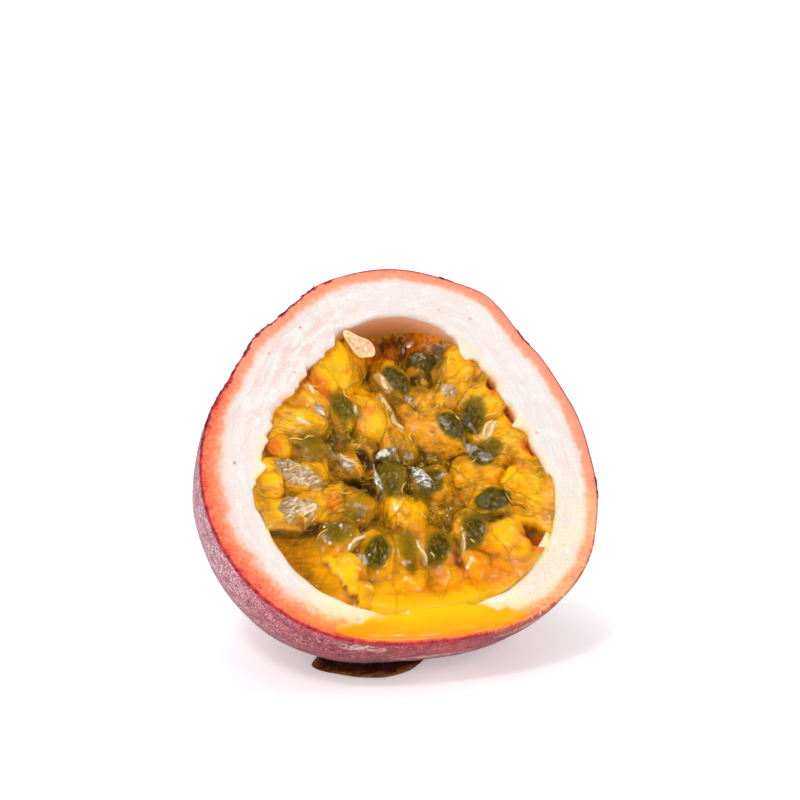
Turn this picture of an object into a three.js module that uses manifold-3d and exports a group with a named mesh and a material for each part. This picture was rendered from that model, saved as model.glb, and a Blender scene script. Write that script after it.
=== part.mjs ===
// Half a passion fruit, cut across at its widest and resting on its round side,
// with the cut face leaning back. Millimetres, +Z up, standing on z = 0.
//
// The half is modelled in its own frame: the cut face lies in the XY plane, +Z
// points out of the cut, and depths are counted down from it. A group then tips
// it up and sets it on the ground.

import * as THREE from 'three';
import { mergeVertices } from 'three/addons/utils/BufferGeometryUtils.js';
import Module from 'manifold-3d';

const wasm = await Module();
wasm.setup();

const { PI, cos, exp, hypot, max, sin, tan } = Math;
const radians = THREE.MathUtils.degToRad;
const mix = THREE.MathUtils.lerp;

// ---------------------------------------------------------------- sizes, in mm

// Pose of the half: 0 degrees would be a bowl that looks straight up.
const TILT = 51;
const CUT_HEIGHT = 30.5; // centre of the cut above the ground
const CUT_FORWARD = 7.95; // and in front of the part's middle
const CUT_RIGHT = 0.7; // and to its right
const SOFT_SPOT = 0.5; // over this height the skin curves down to its flat spot
const HEEL_DEPTH = 1.5; // the soft skin sags down behind, under the fruit's weight
const HEEL_BACK = 14; // from the centre of the cut
const HEEL_RADIUS = 9.5;

// Skin: a slightly three-sided outline at the cut, and a dome behind it.
// A wave adds `height` to the radius at its crests, the first in direction `crest`.
const SKIN_RADIUS = 29.9;
const SKIN_WAVES = [
  { lobes: 3, height: 1.41, crest: -40 },
  { lobes: 2, height: 0.26, crest: 25 },
  { lobes: 4, height: 0.27, crest: -29 },
  { lobes: 5, height: 0.19, crest: 23 },
];
const DOME_DEPTH = 33;
const DOME_FULLNESS = 2.45; // 2 is an ellipse, more is fuller
const CUT_EDGE = 0.4; // rounding where the skin meets the cut

// Stalk end, at the bottom of the dome.
const STALK_DIP_DEPTH = 0.9;
const STALK_DIP_RADIUS = 4;
const STALK_RADIUS = 1.2;
const STALK_LENGTH = 0.9;

// Cavity: the space inside the pith, set a little towards the low side.
const CAVITY_RADIUS = 22.4;
const CAVITY_WAVES = [
  { lobes: 1, height: 1.56, crest: -83 },
  { lobes: 2, height: 1.06, crest: 79 },
  { lobes: 3, height: 1.53, crest: -39 },
  { lobes: 4, height: 0.41, crest: -18 },
];
const CAVITY_DEPTH = 25.5;
const CAVITY_FULLNESS = 2.45;
const PITH_EDGE = 0.8; // rounding where the pith meets the cavity

// Pulp: a core under the arils, which are the juice sacs round the seeds.
const GAP = 0.4; // clearance between the pulp and the pith
const PULP_DEPTH = 0.7; // the arils' tops below the cut, at the wall
const PULP_SAG = 1.6; // and how much deeper in the middle
const HOLLOW_DEPTH = 7.4; // and where the pulp has slid from the high side
const HOLLOW_MIDDLE = [2.5, 22.5];
const HOLLOW_RADII = [9.5, 8];
const CORE_SINK = 2.1; // the core's top below the arils' tops
const CORE_RISE = 1.3; // and how much less at the wall
const CORE_SPARE = 6;
const ARIL_SINK = 2.3; // the arils' axes below their tops
const ARIL_LENGTH = 10;
const ARIL_RADIUS = 3.4;
const ARIL_DROOP = 24; // degrees that a tail points down
const PULP_REACH = 6; // arils may rise this far out of the cut

// One aril a row: its seed's x and y, the direction of its tail, and its size.
const ARILS = [
  [7.6, 16.4, 65, 1.0],
  [2.3, 13.4, 95, 1.05],
  [-6.8, 10.0, 122, 1.0],
  [-2.2, 7.6, 112, 1.1],
  [-13.2, 7.4, 158, 1.1],
  [-12.3, 3.8, 166, 0.9],
  [-14.0, -0.4, 180, 1.05],
  [-15.4, -5.2, 196, 1.05],
  [-10.8, 11.3, 132, 0.95],
  [-5.7, 15.2, 105, 1.0],
  [-7.6, -5.4, 205, 1.0],
  [-11.2, -3.8, 190, 0.9],
  [-1.0, -1.4, 260, 1.0],
  [-5.8, 0.9, 172, 0.95],
  [8.3, 4.6, 150, 1.3],
  [4.5, -3.2, 340, 1.0],
  [13.8, 8.2, 28, 1.15],
  [15.4, 2.4, 8, 1.15],
  [18.2, -5.4, 344, 1.05],
  [12.4, -7.1, 334, 1.1],
  [11.6, -2.4, 356, 0.95],
  [9.2, -11.5, 300, 1.05],
  [3.2, -13.4, 282, 1.1],
  [-6.0, -13.0, 248, 1.1],
  [-1.7, -13.1, 268, 0.95],
  [-11.4, -9.7, 225, 1.05],
  [-11.0, -15.6, 235, 0.9],
  [-0.3, -7.6, 270, 1.05],
  [13.4, -13.2, 314, 1.05],
  [16.0, -10.6, 328, 0.9],
  [8.8, -16.8, 296, 0.9],
  [-1.4, -17.6, 266, 0.8],
  [4.2, -17.9, 282, 0.8],
  [11.4, 14.2, 51, 1.0],
  [9.6, 10.4, 46, 0.95],
  [0.5, 3.4, 90, 1.0],
  [5.4, 9.8, 62, 1.0],
];

// Juice: a film over the low lip of the cut, and a small pool under the fruit.
const LIP_FROM = -130; // degrees round the cut
const LIP_TO = -44;
const LIP_THICKNESS = 1.0;
const LIP_ROUNDING = 0.35;
const LIP_WIDTH = 0.97; // share of the wall that it covers, at its widest
const LIP_END = 0.3;
const LIP_GAP = 0.3; // clearance over the cut face
const POOL_MIDDLE = [-4.9, -9];
const POOL_RADII = [8.4, 8];
const POOL_HEIGHT = 1.0;
const POOL_GAP = 0.45; // clearance under the skin

const SEGMENTS = 64; // steps round the rind
const PULP_SEGMENTS = 44; // and round the pulp

// --------------------------------------------------------------------- helpers

// Radius of a lobed outline in the direction `angle`.
function lobed(radius, waves, angle) {
  const rise = ({ lobes, height, crest }) => height * cos(lobes * (angle - radians(crest)));
  return waves.reduce((sum, wave) => sum + rise(wave), radius);
}

const skinRadius = (angle) => lobed(SKIN_RADIUS, SKIN_WAVES, angle);
const cavityRadius = (angle) => lobed(CAVITY_RADIUS, CAVITY_WAVES, angle);

// Steps down a bowl, from its rim to its bottom: `reach` is the share of the
// rim's radius, and `depth` the share of the bowl's depth.
function bowl(fullness, steps) {
  return Array.from({ length: steps + 1 }, (_, step) => {
    const turn = (PI / 2) * (step / steps);
    return { reach: cos(turn) ** (2 / fullness), depth: sin(turn) ** (2 / fullness) };
  });
}

// A point at an angle round the Z axis.
const polar = (radius, angle, height) => new THREE.Vector3(radius * cos(angle), radius * sin(angle), height);

// A closed surface round the Z axis. Its profile goes up the outside from the
// axis and back to the axis; `place` gives the point of a station at an angle.
function revolve(stations, segments, place) {
  const profile = stations.map((_, index) => new THREE.Vector2(1, index));
  const geometry = new THREE.LatheGeometry(profile, segments);
  const position = geometry.attributes.position;
  for (let i = 0; i < position.count; i += 1) {
    const turn = Math.floor(i / stations.length) % segments;
    const angle = (2 * PI * turn) / segments;
    const point = place(stations[i % stations.length], angle);
    position.setXYZ(i, point.x, point.y, point.z);
  }
  return geometry;
}

// A geometry as a solid that can be joined and cut.
function solid(geometry) {
  const bare = geometry.clone();
  bare.deleteAttribute('normal');
  bare.deleteAttribute('uv');
  const merged = mergeVertices(bare);
  return new wasm.Manifold(new wasm.Mesh({
    numProp: 3,
    vertProperties: new Float32Array(merged.attributes.position.array),
    triVerts: new Uint32Array(merged.index.array),
  }));
}

// A solid as a named mesh.
function mesh(name, body, color, roughness) {
  const { numProp, vertProperties, triVerts } = body.getMesh();
  const geometry = new THREE.BufferGeometry();
  geometry.setAttribute('position', new THREE.BufferAttribute(vertProperties, numProp));
  geometry.setIndex(new THREE.BufferAttribute(triVerts, 1));
  geometry.computeVertexNormals();
  const material = new THREE.MeshStandardMaterial({ color, roughness, metalness: 0 });
  const piece = new THREE.Mesh(geometry, material);
  piece.name = name;
  return piece;
}

// ------------------------------------------------------------------------ pose

const half = new THREE.Group();
half.rotation.x = radians(TILT);
half.position.set(CUT_RIGHT, -CUT_FORWARD, CUT_HEIGHT);
half.updateMatrix();

// Sets a point of the skin down, in the fruit's frame: the skin sags a little
// over its heel, and what would sink below `ground` is lifted flat onto it.
const tip = half.quaternion.clone();
const untip = tip.clone().invert();

function settle(point, ground) {
  const { x, y, z } = point.applyQuaternion(tip);
  const away = hypot(x, y - HEEL_BACK) / HEEL_RADIUS;
  const height = CUT_HEIGHT + z - HEEL_DEPTH * exp(-(away ** 2)) - ground;
  const bent = max(0, height + SOFT_SPOT) ** 2 / (4 * SOFT_SPOT);
  point.z = ground + (height < SOFT_SPOT ? bent : height) - CUT_HEIGHT;
  return point.applyQuaternion(untip);
}

// ------------------------------------------------------------------------ rind

// Outside of the skin from the stalk end up to the cut, grown by `extra`.
function skinStations(extra, steps) {
  return bowl(DOME_FULLNESS, steps).reverse().map(({ reach, depth }) => {
    const dip = STALK_DIP_DEPTH * exp(-(((reach * SKIN_RADIUS) / STALK_DIP_RADIUS) ** 2));
    return { skin: reach, grow: extra * reach, height: dip - depth * (DOME_DEPTH + extra), ground: -extra };
  });
}

// A station's radius is a share of the skin's plus a share of the cavity's.
// Those with a `ground` are set down on it.
function placeOnRind({ skin = 0, cavity = 0, grow = 0, height, ground }, angle) {
  const radius = skin * skinRadius(angle) + cavity * cavityRadius(angle) + grow;
  const point = polar(radius, angle, height);
  return ground === undefined ? point : settle(point, ground);
}

function rind() {
  const outside = skinStations(0, 18);
  outside[outside.length - 1].height = -CUT_EDGE;
  const face = [0, 1 / 3, 2 / 3, 1].map((share) => (
    { skin: 1 - share, cavity: share, grow: mix(-CUT_EDGE, PITH_EDGE, share), height: 0 }
  ));
  const inside = bowl(CAVITY_FULLNESS, 13).map(({ reach, depth }) => (
    { cavity: reach, height: -max(PITH_EDGE, depth * CAVITY_DEPTH) }
  ));
  const stalk = new THREE.CylinderGeometry(STALK_RADIUS, STALK_RADIUS, STALK_LENGTH * 2, 12)
    .rotateX(PI / 2)
    .translate(0, 0, STALK_DIP_DEPTH - DOME_DEPTH);
  const shell = revolve([...outside, ...face, ...inside], SEGMENTS, placeOnRind);
  return solid(shell).add(solid(stalk));
}

// ------------------------------------------------------------------------ pulp

// Depth of the arils' tops below the cut.
function pulpDepth(x, y) {
  const across = (x - HOLLOW_MIDDLE[0]) / HOLLOW_RADII[0];
  const along = (y - HOLLOW_MIDDLE[1]) / HOLLOW_RADII[1];
  const middle = max(0, 1 - (hypot(x, y) / CAVITY_RADIUS) ** 2);
  return PULP_DEPTH + PULP_SAG * middle + HOLLOW_DEPTH * exp(-(across ** 2) - along ** 2);
}

// The cavity less its clearance, carried on straight up out of the cut.
function cavityRoom() {
  const wall = bowl(CAVITY_FULLNESS, 10).reverse();
  const stations = [...wall, { reach: 1, rise: PULP_REACH }, { reach: 0, rise: PULP_REACH }];
  return solid(revolve(stations, PULP_SEGMENTS, ({ reach, depth, rise }, angle) => (
    polar(reach * (cavityRadius(angle) - GAP), angle, rise ?? -depth * (CAVITY_DEPTH - GAP))
  )));
}

// A block with the pulp's surface on top, a little below the arils' tops. It
// is wider and deeper than the cavity, which cuts it to shape.
function core() {
  const width = CAVITY_RADIUS + CORE_SPARE;
  const under = [0, width].map((radius) => ({ radius, bottom: -CAVITY_DEPTH - CORE_SPARE }));
  const lid = [1, 0.78, 0.68, 0.52, 0.34, 0.16, 0].map((share) => ({ radius: share * width }));
  return solid(revolve([...under, ...lid], PULP_SEGMENTS / 2, ({ radius, bottom }, angle) => {
    const depth = pulpDepth(radius * cos(angle), radius * sin(angle)) + CORE_SINK;
    return polar(radius, angle, bottom ?? CORE_RISE * (radius / CAVITY_RADIUS) ** 4 - depth);
  }));
}

// A juice sac: round about its seed, with a tail that runs to the wall.
function aril([x, y, tail, size]) {
  const profile = [[0, -0.36], [0.66, -0.27], [1, -0.02], [0.84, 0.2], [0.46, 0.42], [0, 0.64]];
  const points = profile.map(([wide, along]) => (
    new THREE.Vector2(wide * ARIL_RADIUS * size, along * ARIL_LENGTH * size)
  ));
  const direction = new THREE.Vector3(cos(radians(tail)), sin(radians(tail)), -tan(radians(ARIL_DROOP)));
  const turn = new THREE.Quaternion().setFromUnitVectors(new THREE.Vector3(0, 1, 0), direction.normalize());
  const geometry = new THREE.LatheGeometry(points, 8).applyQuaternion(turn);
  return solid(geometry.translate(x, y, -pulpDepth(x, y) - ARIL_SINK));
}

function pulp() {
  return ARILS.reduce((body, row) => body.add(aril(row)), core()).intersect(cavityRoom());
}

// ----------------------------------------------------------------------- juice

// The film on the low lip: a crescent on the cut face, rounded all round.
function lipJuice() {
  const steps = 22;
  const inner = [];
  const outer = [];
  for (let step = 0; step <= steps; step += 1) {
    const angle = radians(mix(LIP_FROM, LIP_TO, step / steps));
    const swell = LIP_WIDTH * sin((PI * step) / steps) ** 0.7;
    const wall = skinRadius(angle) - cavityRadius(angle) - 2 * LIP_ROUNDING;
    const from = cavityRadius(angle) + LIP_ROUNDING;
    const to = from + max(LIP_END, wall * swell);
    inner.push(new THREE.Vector2(from * cos(angle), from * sin(angle)));
    outer.unshift(new THREE.Vector2(to * cos(angle), to * sin(angle)));
  }
  const geometry = new THREE.ExtrudeGeometry(new THREE.Shape([...inner, ...outer]), {
    depth: LIP_THICKNESS - 2 * LIP_ROUNDING,
    bevelThickness: LIP_ROUNDING,
    bevelSize: LIP_ROUNDING,
    bevelSegments: 2,
  });
  return solid(geometry.translate(0, 0, LIP_GAP + LIP_ROUNDING));
}

// The pool under the low side, cut clear of the skin. It lies on the ground.
function footPool() {
  const profile = [[0, 0], [1, 0], [0.96, 0.4], [0.86, 0.72], [0.6, 0.94], [0, 1]];
  const points = profile.map(([wide, high]) => new THREE.Vector2(wide, high));
  const drop = new THREE.LatheGeometry(points, 40)
    .rotateX(PI / 2)
    .scale(POOL_RADII[0], POOL_RADII[1], POOL_HEIGHT)
    .translate(POOL_MIDDLE[0], POOL_MIDDLE[1], 0);
  const stations = [...skinStations(POOL_GAP, 18), { height: 0 }];
  const clearance = revolve(stations, SEGMENTS, placeOnRind).applyMatrix4(half.matrix);
  return solid(drop).subtract(solid(clearance));
}

// ----------------------------------------------------------------------- fruit

half.add(
  mesh('rind', rind(), '#8d4350', 0.5),
  mesh('pulp', pulp(), '#d9981a', 0.25),
  mesh('juice_lip', lipJuice(), '#f7ab12', 0.15),
);

const fruit = new THREE.Group();
fruit.add(half, mesh('juice_foot', footPool(), '#6e4a1c', 0.15));

export default fruit;
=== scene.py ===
"""Half a passion fruit, cut across and resting on its round side.

The fruit is modelled in its own frame, in millimetres: the cut lies in the XY plane and +Z
points out of it. Each finished piece is then tipped up, set in its place and turned to metres.
"""

from math import cos, pi, radians, sin

import bpy
import numpy as np
from mathutils import Matrix, Vector, noise


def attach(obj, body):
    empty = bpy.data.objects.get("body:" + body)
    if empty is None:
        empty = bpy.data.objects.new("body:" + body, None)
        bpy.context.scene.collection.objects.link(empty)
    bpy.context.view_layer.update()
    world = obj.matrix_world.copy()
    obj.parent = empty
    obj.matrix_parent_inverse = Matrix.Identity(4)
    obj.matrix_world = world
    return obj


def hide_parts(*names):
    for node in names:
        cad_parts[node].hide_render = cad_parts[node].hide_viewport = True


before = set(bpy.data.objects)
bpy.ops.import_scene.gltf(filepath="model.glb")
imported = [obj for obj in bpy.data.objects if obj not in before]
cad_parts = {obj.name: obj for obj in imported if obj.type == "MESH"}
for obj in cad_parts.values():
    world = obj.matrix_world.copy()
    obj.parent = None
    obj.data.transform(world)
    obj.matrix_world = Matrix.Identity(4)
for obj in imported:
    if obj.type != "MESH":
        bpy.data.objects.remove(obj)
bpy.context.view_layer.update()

# ------------------------------------------------------------------ sizes, in mm

TILT = radians(51)
CUT_CENTRE = np.array([0.7, -7.95, 30.5])
SOFT_SPOT = 0.5
HEEL_DEPTH = 1.5
HEEL_BACK = 14
HEEL_RADIUS = 9.5

# Each wave is its number of lobes, its height and the direction of its first crest.
SKIN_RADIUS = 29.9
SKIN_WAVES = [(3, 1.41, -40), (2, 0.26, 25), (4, 0.27, -29), (5, 0.19, 23)]
DOME_DEPTH = 33
DOME_FULLNESS = 2.45
CUT_EDGE = 0.4
STALK_DIP_DEPTH = 0.9
STALK_DIP_RADIUS = 4

CAVITY_RADIUS = 22.4
CAVITY_WAVES = [(1, 1.56, -83), (2, 1.06, 79), (3, 1.53, -39), (4, 0.41, -18)]
CAVITY_DEPTH = 25.5
CAVITY_FULLNESS = 2.45
PITH_EDGE = 0.8

PULP_DEPTH = 0.7
PULP_SAG = 1.6
HOLLOW_DEPTH = 7.4
HOLLOW_MIDDLE = (2.5, 22.5)
HOLLOW_RADII = (9.5, 8)
CORE_SINK = 2.1
CORE_RISE = 1.3
ARIL_SINK = 2.3
ARIL_LENGTH = 10
ARIL_RADIUS = 3.4
ARIL_DROOP = radians(24)

# One juice sac a row: its seed's x and y, the direction of its tail, and its size.
ARILS = [
    (7.6, 16.4, 65, 1.0), (2.3, 13.4, 95, 1.05), (-6.8, 10.0, 122, 1.0), (-2.2, 7.6, 112, 1.1),
    (-13.2, 7.4, 158, 1.1), (-12.3, 3.8, 166, 0.9), (-14.0, -0.4, 180, 1.05),
    (-15.4, -5.2, 196, 1.05), (-10.8, 11.3, 132, 0.95), (-5.7, 15.2, 105, 1.0),
    (-7.6, -5.4, 205, 1.0), (-11.2, -3.8, 190, 0.9), (-1.0, -1.4, 260, 1.0), (-5.8, 0.9, 172, 0.95),
    (8.3, 4.6, 150, 1.3), (4.5, -3.2, 340, 1.0), (13.8, 8.2, 28, 1.15), (15.4, 2.4, 8, 1.15),
    (18.2, -5.4, 344, 1.05), (12.4, -7.1, 334, 1.1), (11.6, -2.4, 356, 0.95),
    (9.2, -11.5, 300, 1.05), (3.2, -13.4, 282, 1.1), (-6.0, -13.0, 248, 1.1),
    (-1.7, -13.1, 268, 0.95), (-11.4, -9.7, 225, 1.05), (-11.0, -15.6, 235, 0.9),
    (-0.3, -7.6, 270, 1.05), (13.4, -13.2, 314, 1.05), (16.0, -10.6, 328, 0.9),
    (8.8, -16.8, 296, 0.9), (-1.4, -17.6, 266, 0.8), (4.2, -17.9, 282, 0.8), (11.4, 14.2, 51, 1.0),
    (9.6, 10.4, 46, 0.95), (0.5, 3.4, 90, 1.0), (5.4, 9.8, 62, 1.0),
]

LIP_FROM = -142
LIP_TO = -48
POOL_MIDDLE = (-4.9, -9)
POOL_RADII = (8.4, 8)
POOL_HEIGHT = 1.0


# ------------------------------------------------------------------------- hand

def put_down():
    """Ends what was being edited, with nothing selected."""
    if bpy.context.object and bpy.context.object.mode != "OBJECT":
        bpy.ops.object.mode_set(mode="OBJECT")
    bpy.ops.object.select_all(action="DESELECT")


def hold(piece):
    """Selects one piece and makes it the active one."""
    put_down()
    piece.select_set(True)
    bpy.context.view_layer.objects.active = piece


def points_of(piece):
    flat = np.empty(len(piece.data.vertices) * 3)
    piece.data.vertices.foreach_get("co", flat)
    return flat.reshape(-1, 3)


def move_points(piece, points):
    piece.data.vertices.foreach_set("co", np.asarray(points, float).ravel())
    piece.data.update()


def normals_of(piece):
    flat = np.empty(len(piece.data.vertices) * 3)
    piece.data.vertices.foreach_get("normal", flat)
    return flat.reshape(-1, 3)


def note(piece, name, values):
    """Keeps a number for each point of a piece, for its material to read."""
    attribute = piece.data.attributes.new(name, "FLOAT", "POINT")
    attribute.data.foreach_set("value", np.asarray(values, np.float32))


def note_place(piece, name, places):
    attribute = piece.data.attributes.new(name, "FLOAT_VECTOR", "POINT")
    attribute.data.foreach_set("vector", np.asarray(places, np.float32).ravel())


def polar(points):
    """The radius and angle of each point round the Z axis."""
    return np.hypot(points[:, 0], points[:, 1]), np.arctan2(points[:, 1], points[:, 0])


def from_polar(radius, angle, height):
    return np.column_stack([radius * np.cos(angle), radius * np.sin(angle), height])


def degrees_off(turn, place):
    """How far a direction lies from a place, from -180 to 180."""
    return (turn - place + 180) % 360 - 180


def face_outwards(piece, doubles=0):
    """Merges a piece's doubles, where asked, and turns its faces outwards."""
    hold(piece)
    bpy.ops.object.mode_set(mode="EDIT")
    bpy.ops.mesh.select_all(action="SELECT")
    if doubles:
        bpy.ops.mesh.remove_doubles(threshold=doubles)
    bpy.ops.mesh.normals_make_consistent(inside=False)
    bpy.ops.object.mode_set(mode="OBJECT")


def extrude_down(piece):
    """Gives a flat sheet a lower side, 1 below it."""
    bpy.ops.object.mode_set(mode="EDIT")
    bpy.ops.mesh.select_all(action="SELECT")
    bpy.ops.mesh.extrude_region_move(TRANSFORM_OT_translate={"value": (0, 0, -1)})
    bpy.ops.object.mode_set(mode="OBJECT")
    return points_of(piece)


def bare_copy(form, name, points):
    """A copy of a form with its own mesh, its points moved to new places."""
    copy = bpy.data.objects.new(name, form.data.copy())
    bpy.context.collection.objects.link(copy)
    move_points(copy, points)
    return copy


def join_up(copies, form):
    """Joins copies of a form into the first of them, and does away with the form."""
    hold(copies[0])
    for copy in copies:
        copy.select_set(True)
    bpy.ops.object.join()
    joined = bpy.context.object
    bpy.data.objects.remove(form)
    return joined


def draw_rings(name, segments, stations):
    """A closed form round the Z axis, extruded ring by ring through (radius, height)."""
    put_down()
    radius, height = stations[0]
    bpy.ops.mesh.primitive_circle_add(vertices=segments, radius=radius)
    piece = bpy.context.object
    piece.name = name
    piece.data.name = name
    bpy.ops.object.mode_set(mode="EDIT")
    bpy.ops.mesh.select_all(action="SELECT")
    bpy.ops.transform.translate(value=(0, 0, height))
    for next_radius, next_height in stations[1:]:
        rise = {"value": (0, 0, next_height - height)}
        bpy.ops.mesh.extrude_region_move(TRANSFORM_OT_translate=rise)
        widen = next_radius / radius
        bpy.ops.transform.resize(value=(widen, widen, 1))
        radius, height = next_radius, next_height
    bpy.ops.mesh.merge(type="CENTER")
    bpy.ops.object.mode_set(mode="OBJECT")
    first = np.arange(len(piece.data.vertices)) < segments
    piece.data.vertices.foreach_set("select", first)
    bpy.ops.object.mode_set(mode="EDIT")
    bpy.ops.mesh.select_mode(type="VERT")
    bpy.ops.mesh.merge(type="CENTER")
    face_outwards(piece)
    return piece


def ring_numbers(piece, stations):
    """The station that each point of a drawn form belongs to."""
    points = points_of(piece)
    radius, _ = polar(points)
    table = np.array(stations)
    off = (radius[:, None] - table[:, 0]) ** 2 + (points[:, 2][:, None] - table[:, 1]) ** 2
    return off.argmin(axis=1)


def apply_modifier(piece, kind, **settings):
    hold(piece)
    bpy.ops.object.modifier_add(type=kind)
    modifier = piece.modifiers[-1]
    for setting, value in settings.items():
        setattr(modifier, setting, value)
    bpy.ops.object.modifier_apply(modifier=modifier.name)


# ------------------------------------------------------------------------- pose

TIP = np.array([[1, 0, 0], [0, cos(TILT), -sin(TILT)], [0, sin(TILT), cos(TILT)]])


def settle(points):
    """Sags the skin over its heel and flattens it onto the ground."""
    tipped = points @ TIP.T
    away = np.hypot(tipped[:, 0], tipped[:, 1] - HEEL_BACK) / HEEL_RADIUS
    height = CUT_CENTRE[2] + tipped[:, 2] - HEEL_DEPTH * np.exp(-(away ** 2))
    bent = np.maximum(0, height + SOFT_SPOT) ** 2 / (4 * SOFT_SPOT)
    tipped[:, 2] = np.where(height < SOFT_SPOT, bent, height) - CUT_CENTRE[2]
    return tipped @ TIP


def set_up(piece):
    """Tips a piece up with the fruit, puts it in its place and turns it to metres."""
    move_points(piece, (points_of(piece) @ TIP.T + CUT_CENTRE) / 1000)


def smooth(piece):
    piece.data.polygons.foreach_set("use_smooth", np.ones(len(piece.data.polygons), bool))
    piece.data.update()


def finish_piece(piece, material):
    """Gives a shaped piece its one material, shades it smooth and sets it up."""
    piece.data.materials.clear()
    piece.data.materials.append(material)
    smooth(piece)
    set_up(piece)
    return piece


def step(low, high, value):
    """0 under `low`, 1 over `high`, and smooth between."""
    share = np.clip((value - low) / (high - low), 0, 1)
    return share * share * (3 - 2 * share)


def lobed(radius, waves, angle):
    rises = (height * np.cos(lobes * (angle - radians(crest))) for lobes, height, crest in waves)
    return radius + sum(rises)


def grain(points, size, seed=0, octaves=2):
    """Soft noise from about -1 to 1 at each point, with lumps about `size` across."""
    values = []
    for x, y, z in points / size:
        values.append(noise.fractal((x + seed, y - seed, z + 2 * seed), 1.0, 2.0, octaves))
    return np.array(values)


# ------------------------------------------------------------------------- rind

RIND_SEGMENTS = 360


def slow_ends(steps):
    """Shares from 0 to 1 that go slowly at both ends."""
    share = np.linspace(0, 1, steps + 1)
    return share - 0.75 * np.sin(2 * pi * share) / (2 * pi)


def bowl(fullness, steps):
    turn = slow_ends(steps) * pi / 2
    return np.cos(turn) ** (2 / fullness), np.sin(turn) ** (2 / fullness)


def rind_stations():
    """Rows of skin share, cavity share, extra radius, height and side, from the floor of
    the cavity over the cut to the stalk end."""
    rows = []
    reach, depth = bowl(CAVITY_FULLNESS, 36)
    inside = zip(reach[::-1], depth[::-1])
    for share, down in inside:
        if down * CAVITY_DEPTH > PITH_EDGE:
            rows.append((0, max(share, 0.002), 0, -down * CAVITY_DEPTH, 2))
    for turn in np.linspace(0, 90, 5):
        corner = radians(turn)
        rows.append((0, 1, PITH_EDGE * (1 - cos(corner)), -PITH_EDGE * (1 - sin(corner)), 1))
    for share in np.linspace(0, 1, 26)[1:-1]:
        edge = PITH_EDGE + (-CUT_EDGE - PITH_EDGE) * share
        rows.append((share, 1 - share, edge, 0, 1))
    for turn in np.linspace(0, 90, 4):
        corner = radians(turn)
        rows.append((1, 0, -CUT_EDGE * (1 - sin(corner)), -CUT_EDGE * (1 - cos(corner)), 1))
    reach, depth = bowl(DOME_FULLNESS, 54)
    for share, down in zip(reach, depth):
        if down * DOME_DEPTH > CUT_EDGE:
            rows.append((max(share, 0.002), 0, 0, -down * DOME_DEPTH, 0))
    return np.array(rows)


# Low swellings of the skin beside the cut: direction, width and height.
SWELLINGS = [
    (54, 8, 1.0), (38, 5, -0.4), (8, 9, 0.35), (104, 7, 0.4), (130, 6, 0.6), (148, 5, -0.25),
    (-70, 6, 0.15), (-25, 6, -0.2),
]


def skin_edge(angle):
    """The radius of the skin at the cut."""
    turn = np.degrees(angle)
    edge = lobed(SKIN_RADIUS, SKIN_WAVES, angle)
    for place, width, height in SWELLINGS:
        edge = edge + height * np.exp(-(degrees_off(turn, place) / width) ** 2)
    return edge


# Where the skin is palest, and how wide that is, in degrees: partly its bloom, partly painted
# light on that side.
BLOOM_AND_LIT_SIDE = 190
BLOOM_AND_LIT_WIDTH = 36

# Dry scuffs on the skin: direction, depth below the cut, and half sizes in degrees and mm.
SCUFFS = [
    (-112, 2.6, 9, 1.3), (-62, 3.2, 10, 1.4), (-86, 9.0, 16, 1.6),
]


# Where the pith juts into the cavity or is torn back from it: direction, width and reach.
TEARS = [
    (51.5, 4.2, 2.1), (35, 4.5, -1.0), (20, 3.5, -0.8), (12.5, 2.2, 1.3), (7, 2.5, -0.6),
    (26.5, 2.2, 0.5), (104.5, 3.0, -0.9), (112, 5.0, 0.9), (126, 3.0, -0.4), (136, 4.5, 0.3),
    (149, 6.5, -1.35), (163, 4.0, 0.2), (176, 5.0, 1.1), (187.5, 4.5, -0.8), (319, 8.0, 1.0),
    (348, 4.0, -0.3),
]


def ragged_edge(angle):
    """How far the pith juts into the cavity, torn at the upper left and upper right."""
    turn = np.degrees(angle) % 360
    left = step(98, 112, turn) * (1 - step(185, 196, turn))
    right = step(-8, 12, degrees_off(turn, 0)) * (1 - step(56, 66, turn))
    fine = np.sin(angle * 37 + 0.7) + 0.8 * np.sin(angle * 59 + 2.1) + 0.5 * np.sin(angle * 97)
    jut = 0.12 * np.sin(angle * 9 + 1) + 0.08 * np.sin(angle * 31 + 0.4)
    for place, width, reach in TEARS:
        jut = jut + reach * np.exp(-((turn - place) / width) ** 2)
    return (left * 0.24 + right * 0.2) * fine + jut


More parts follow.
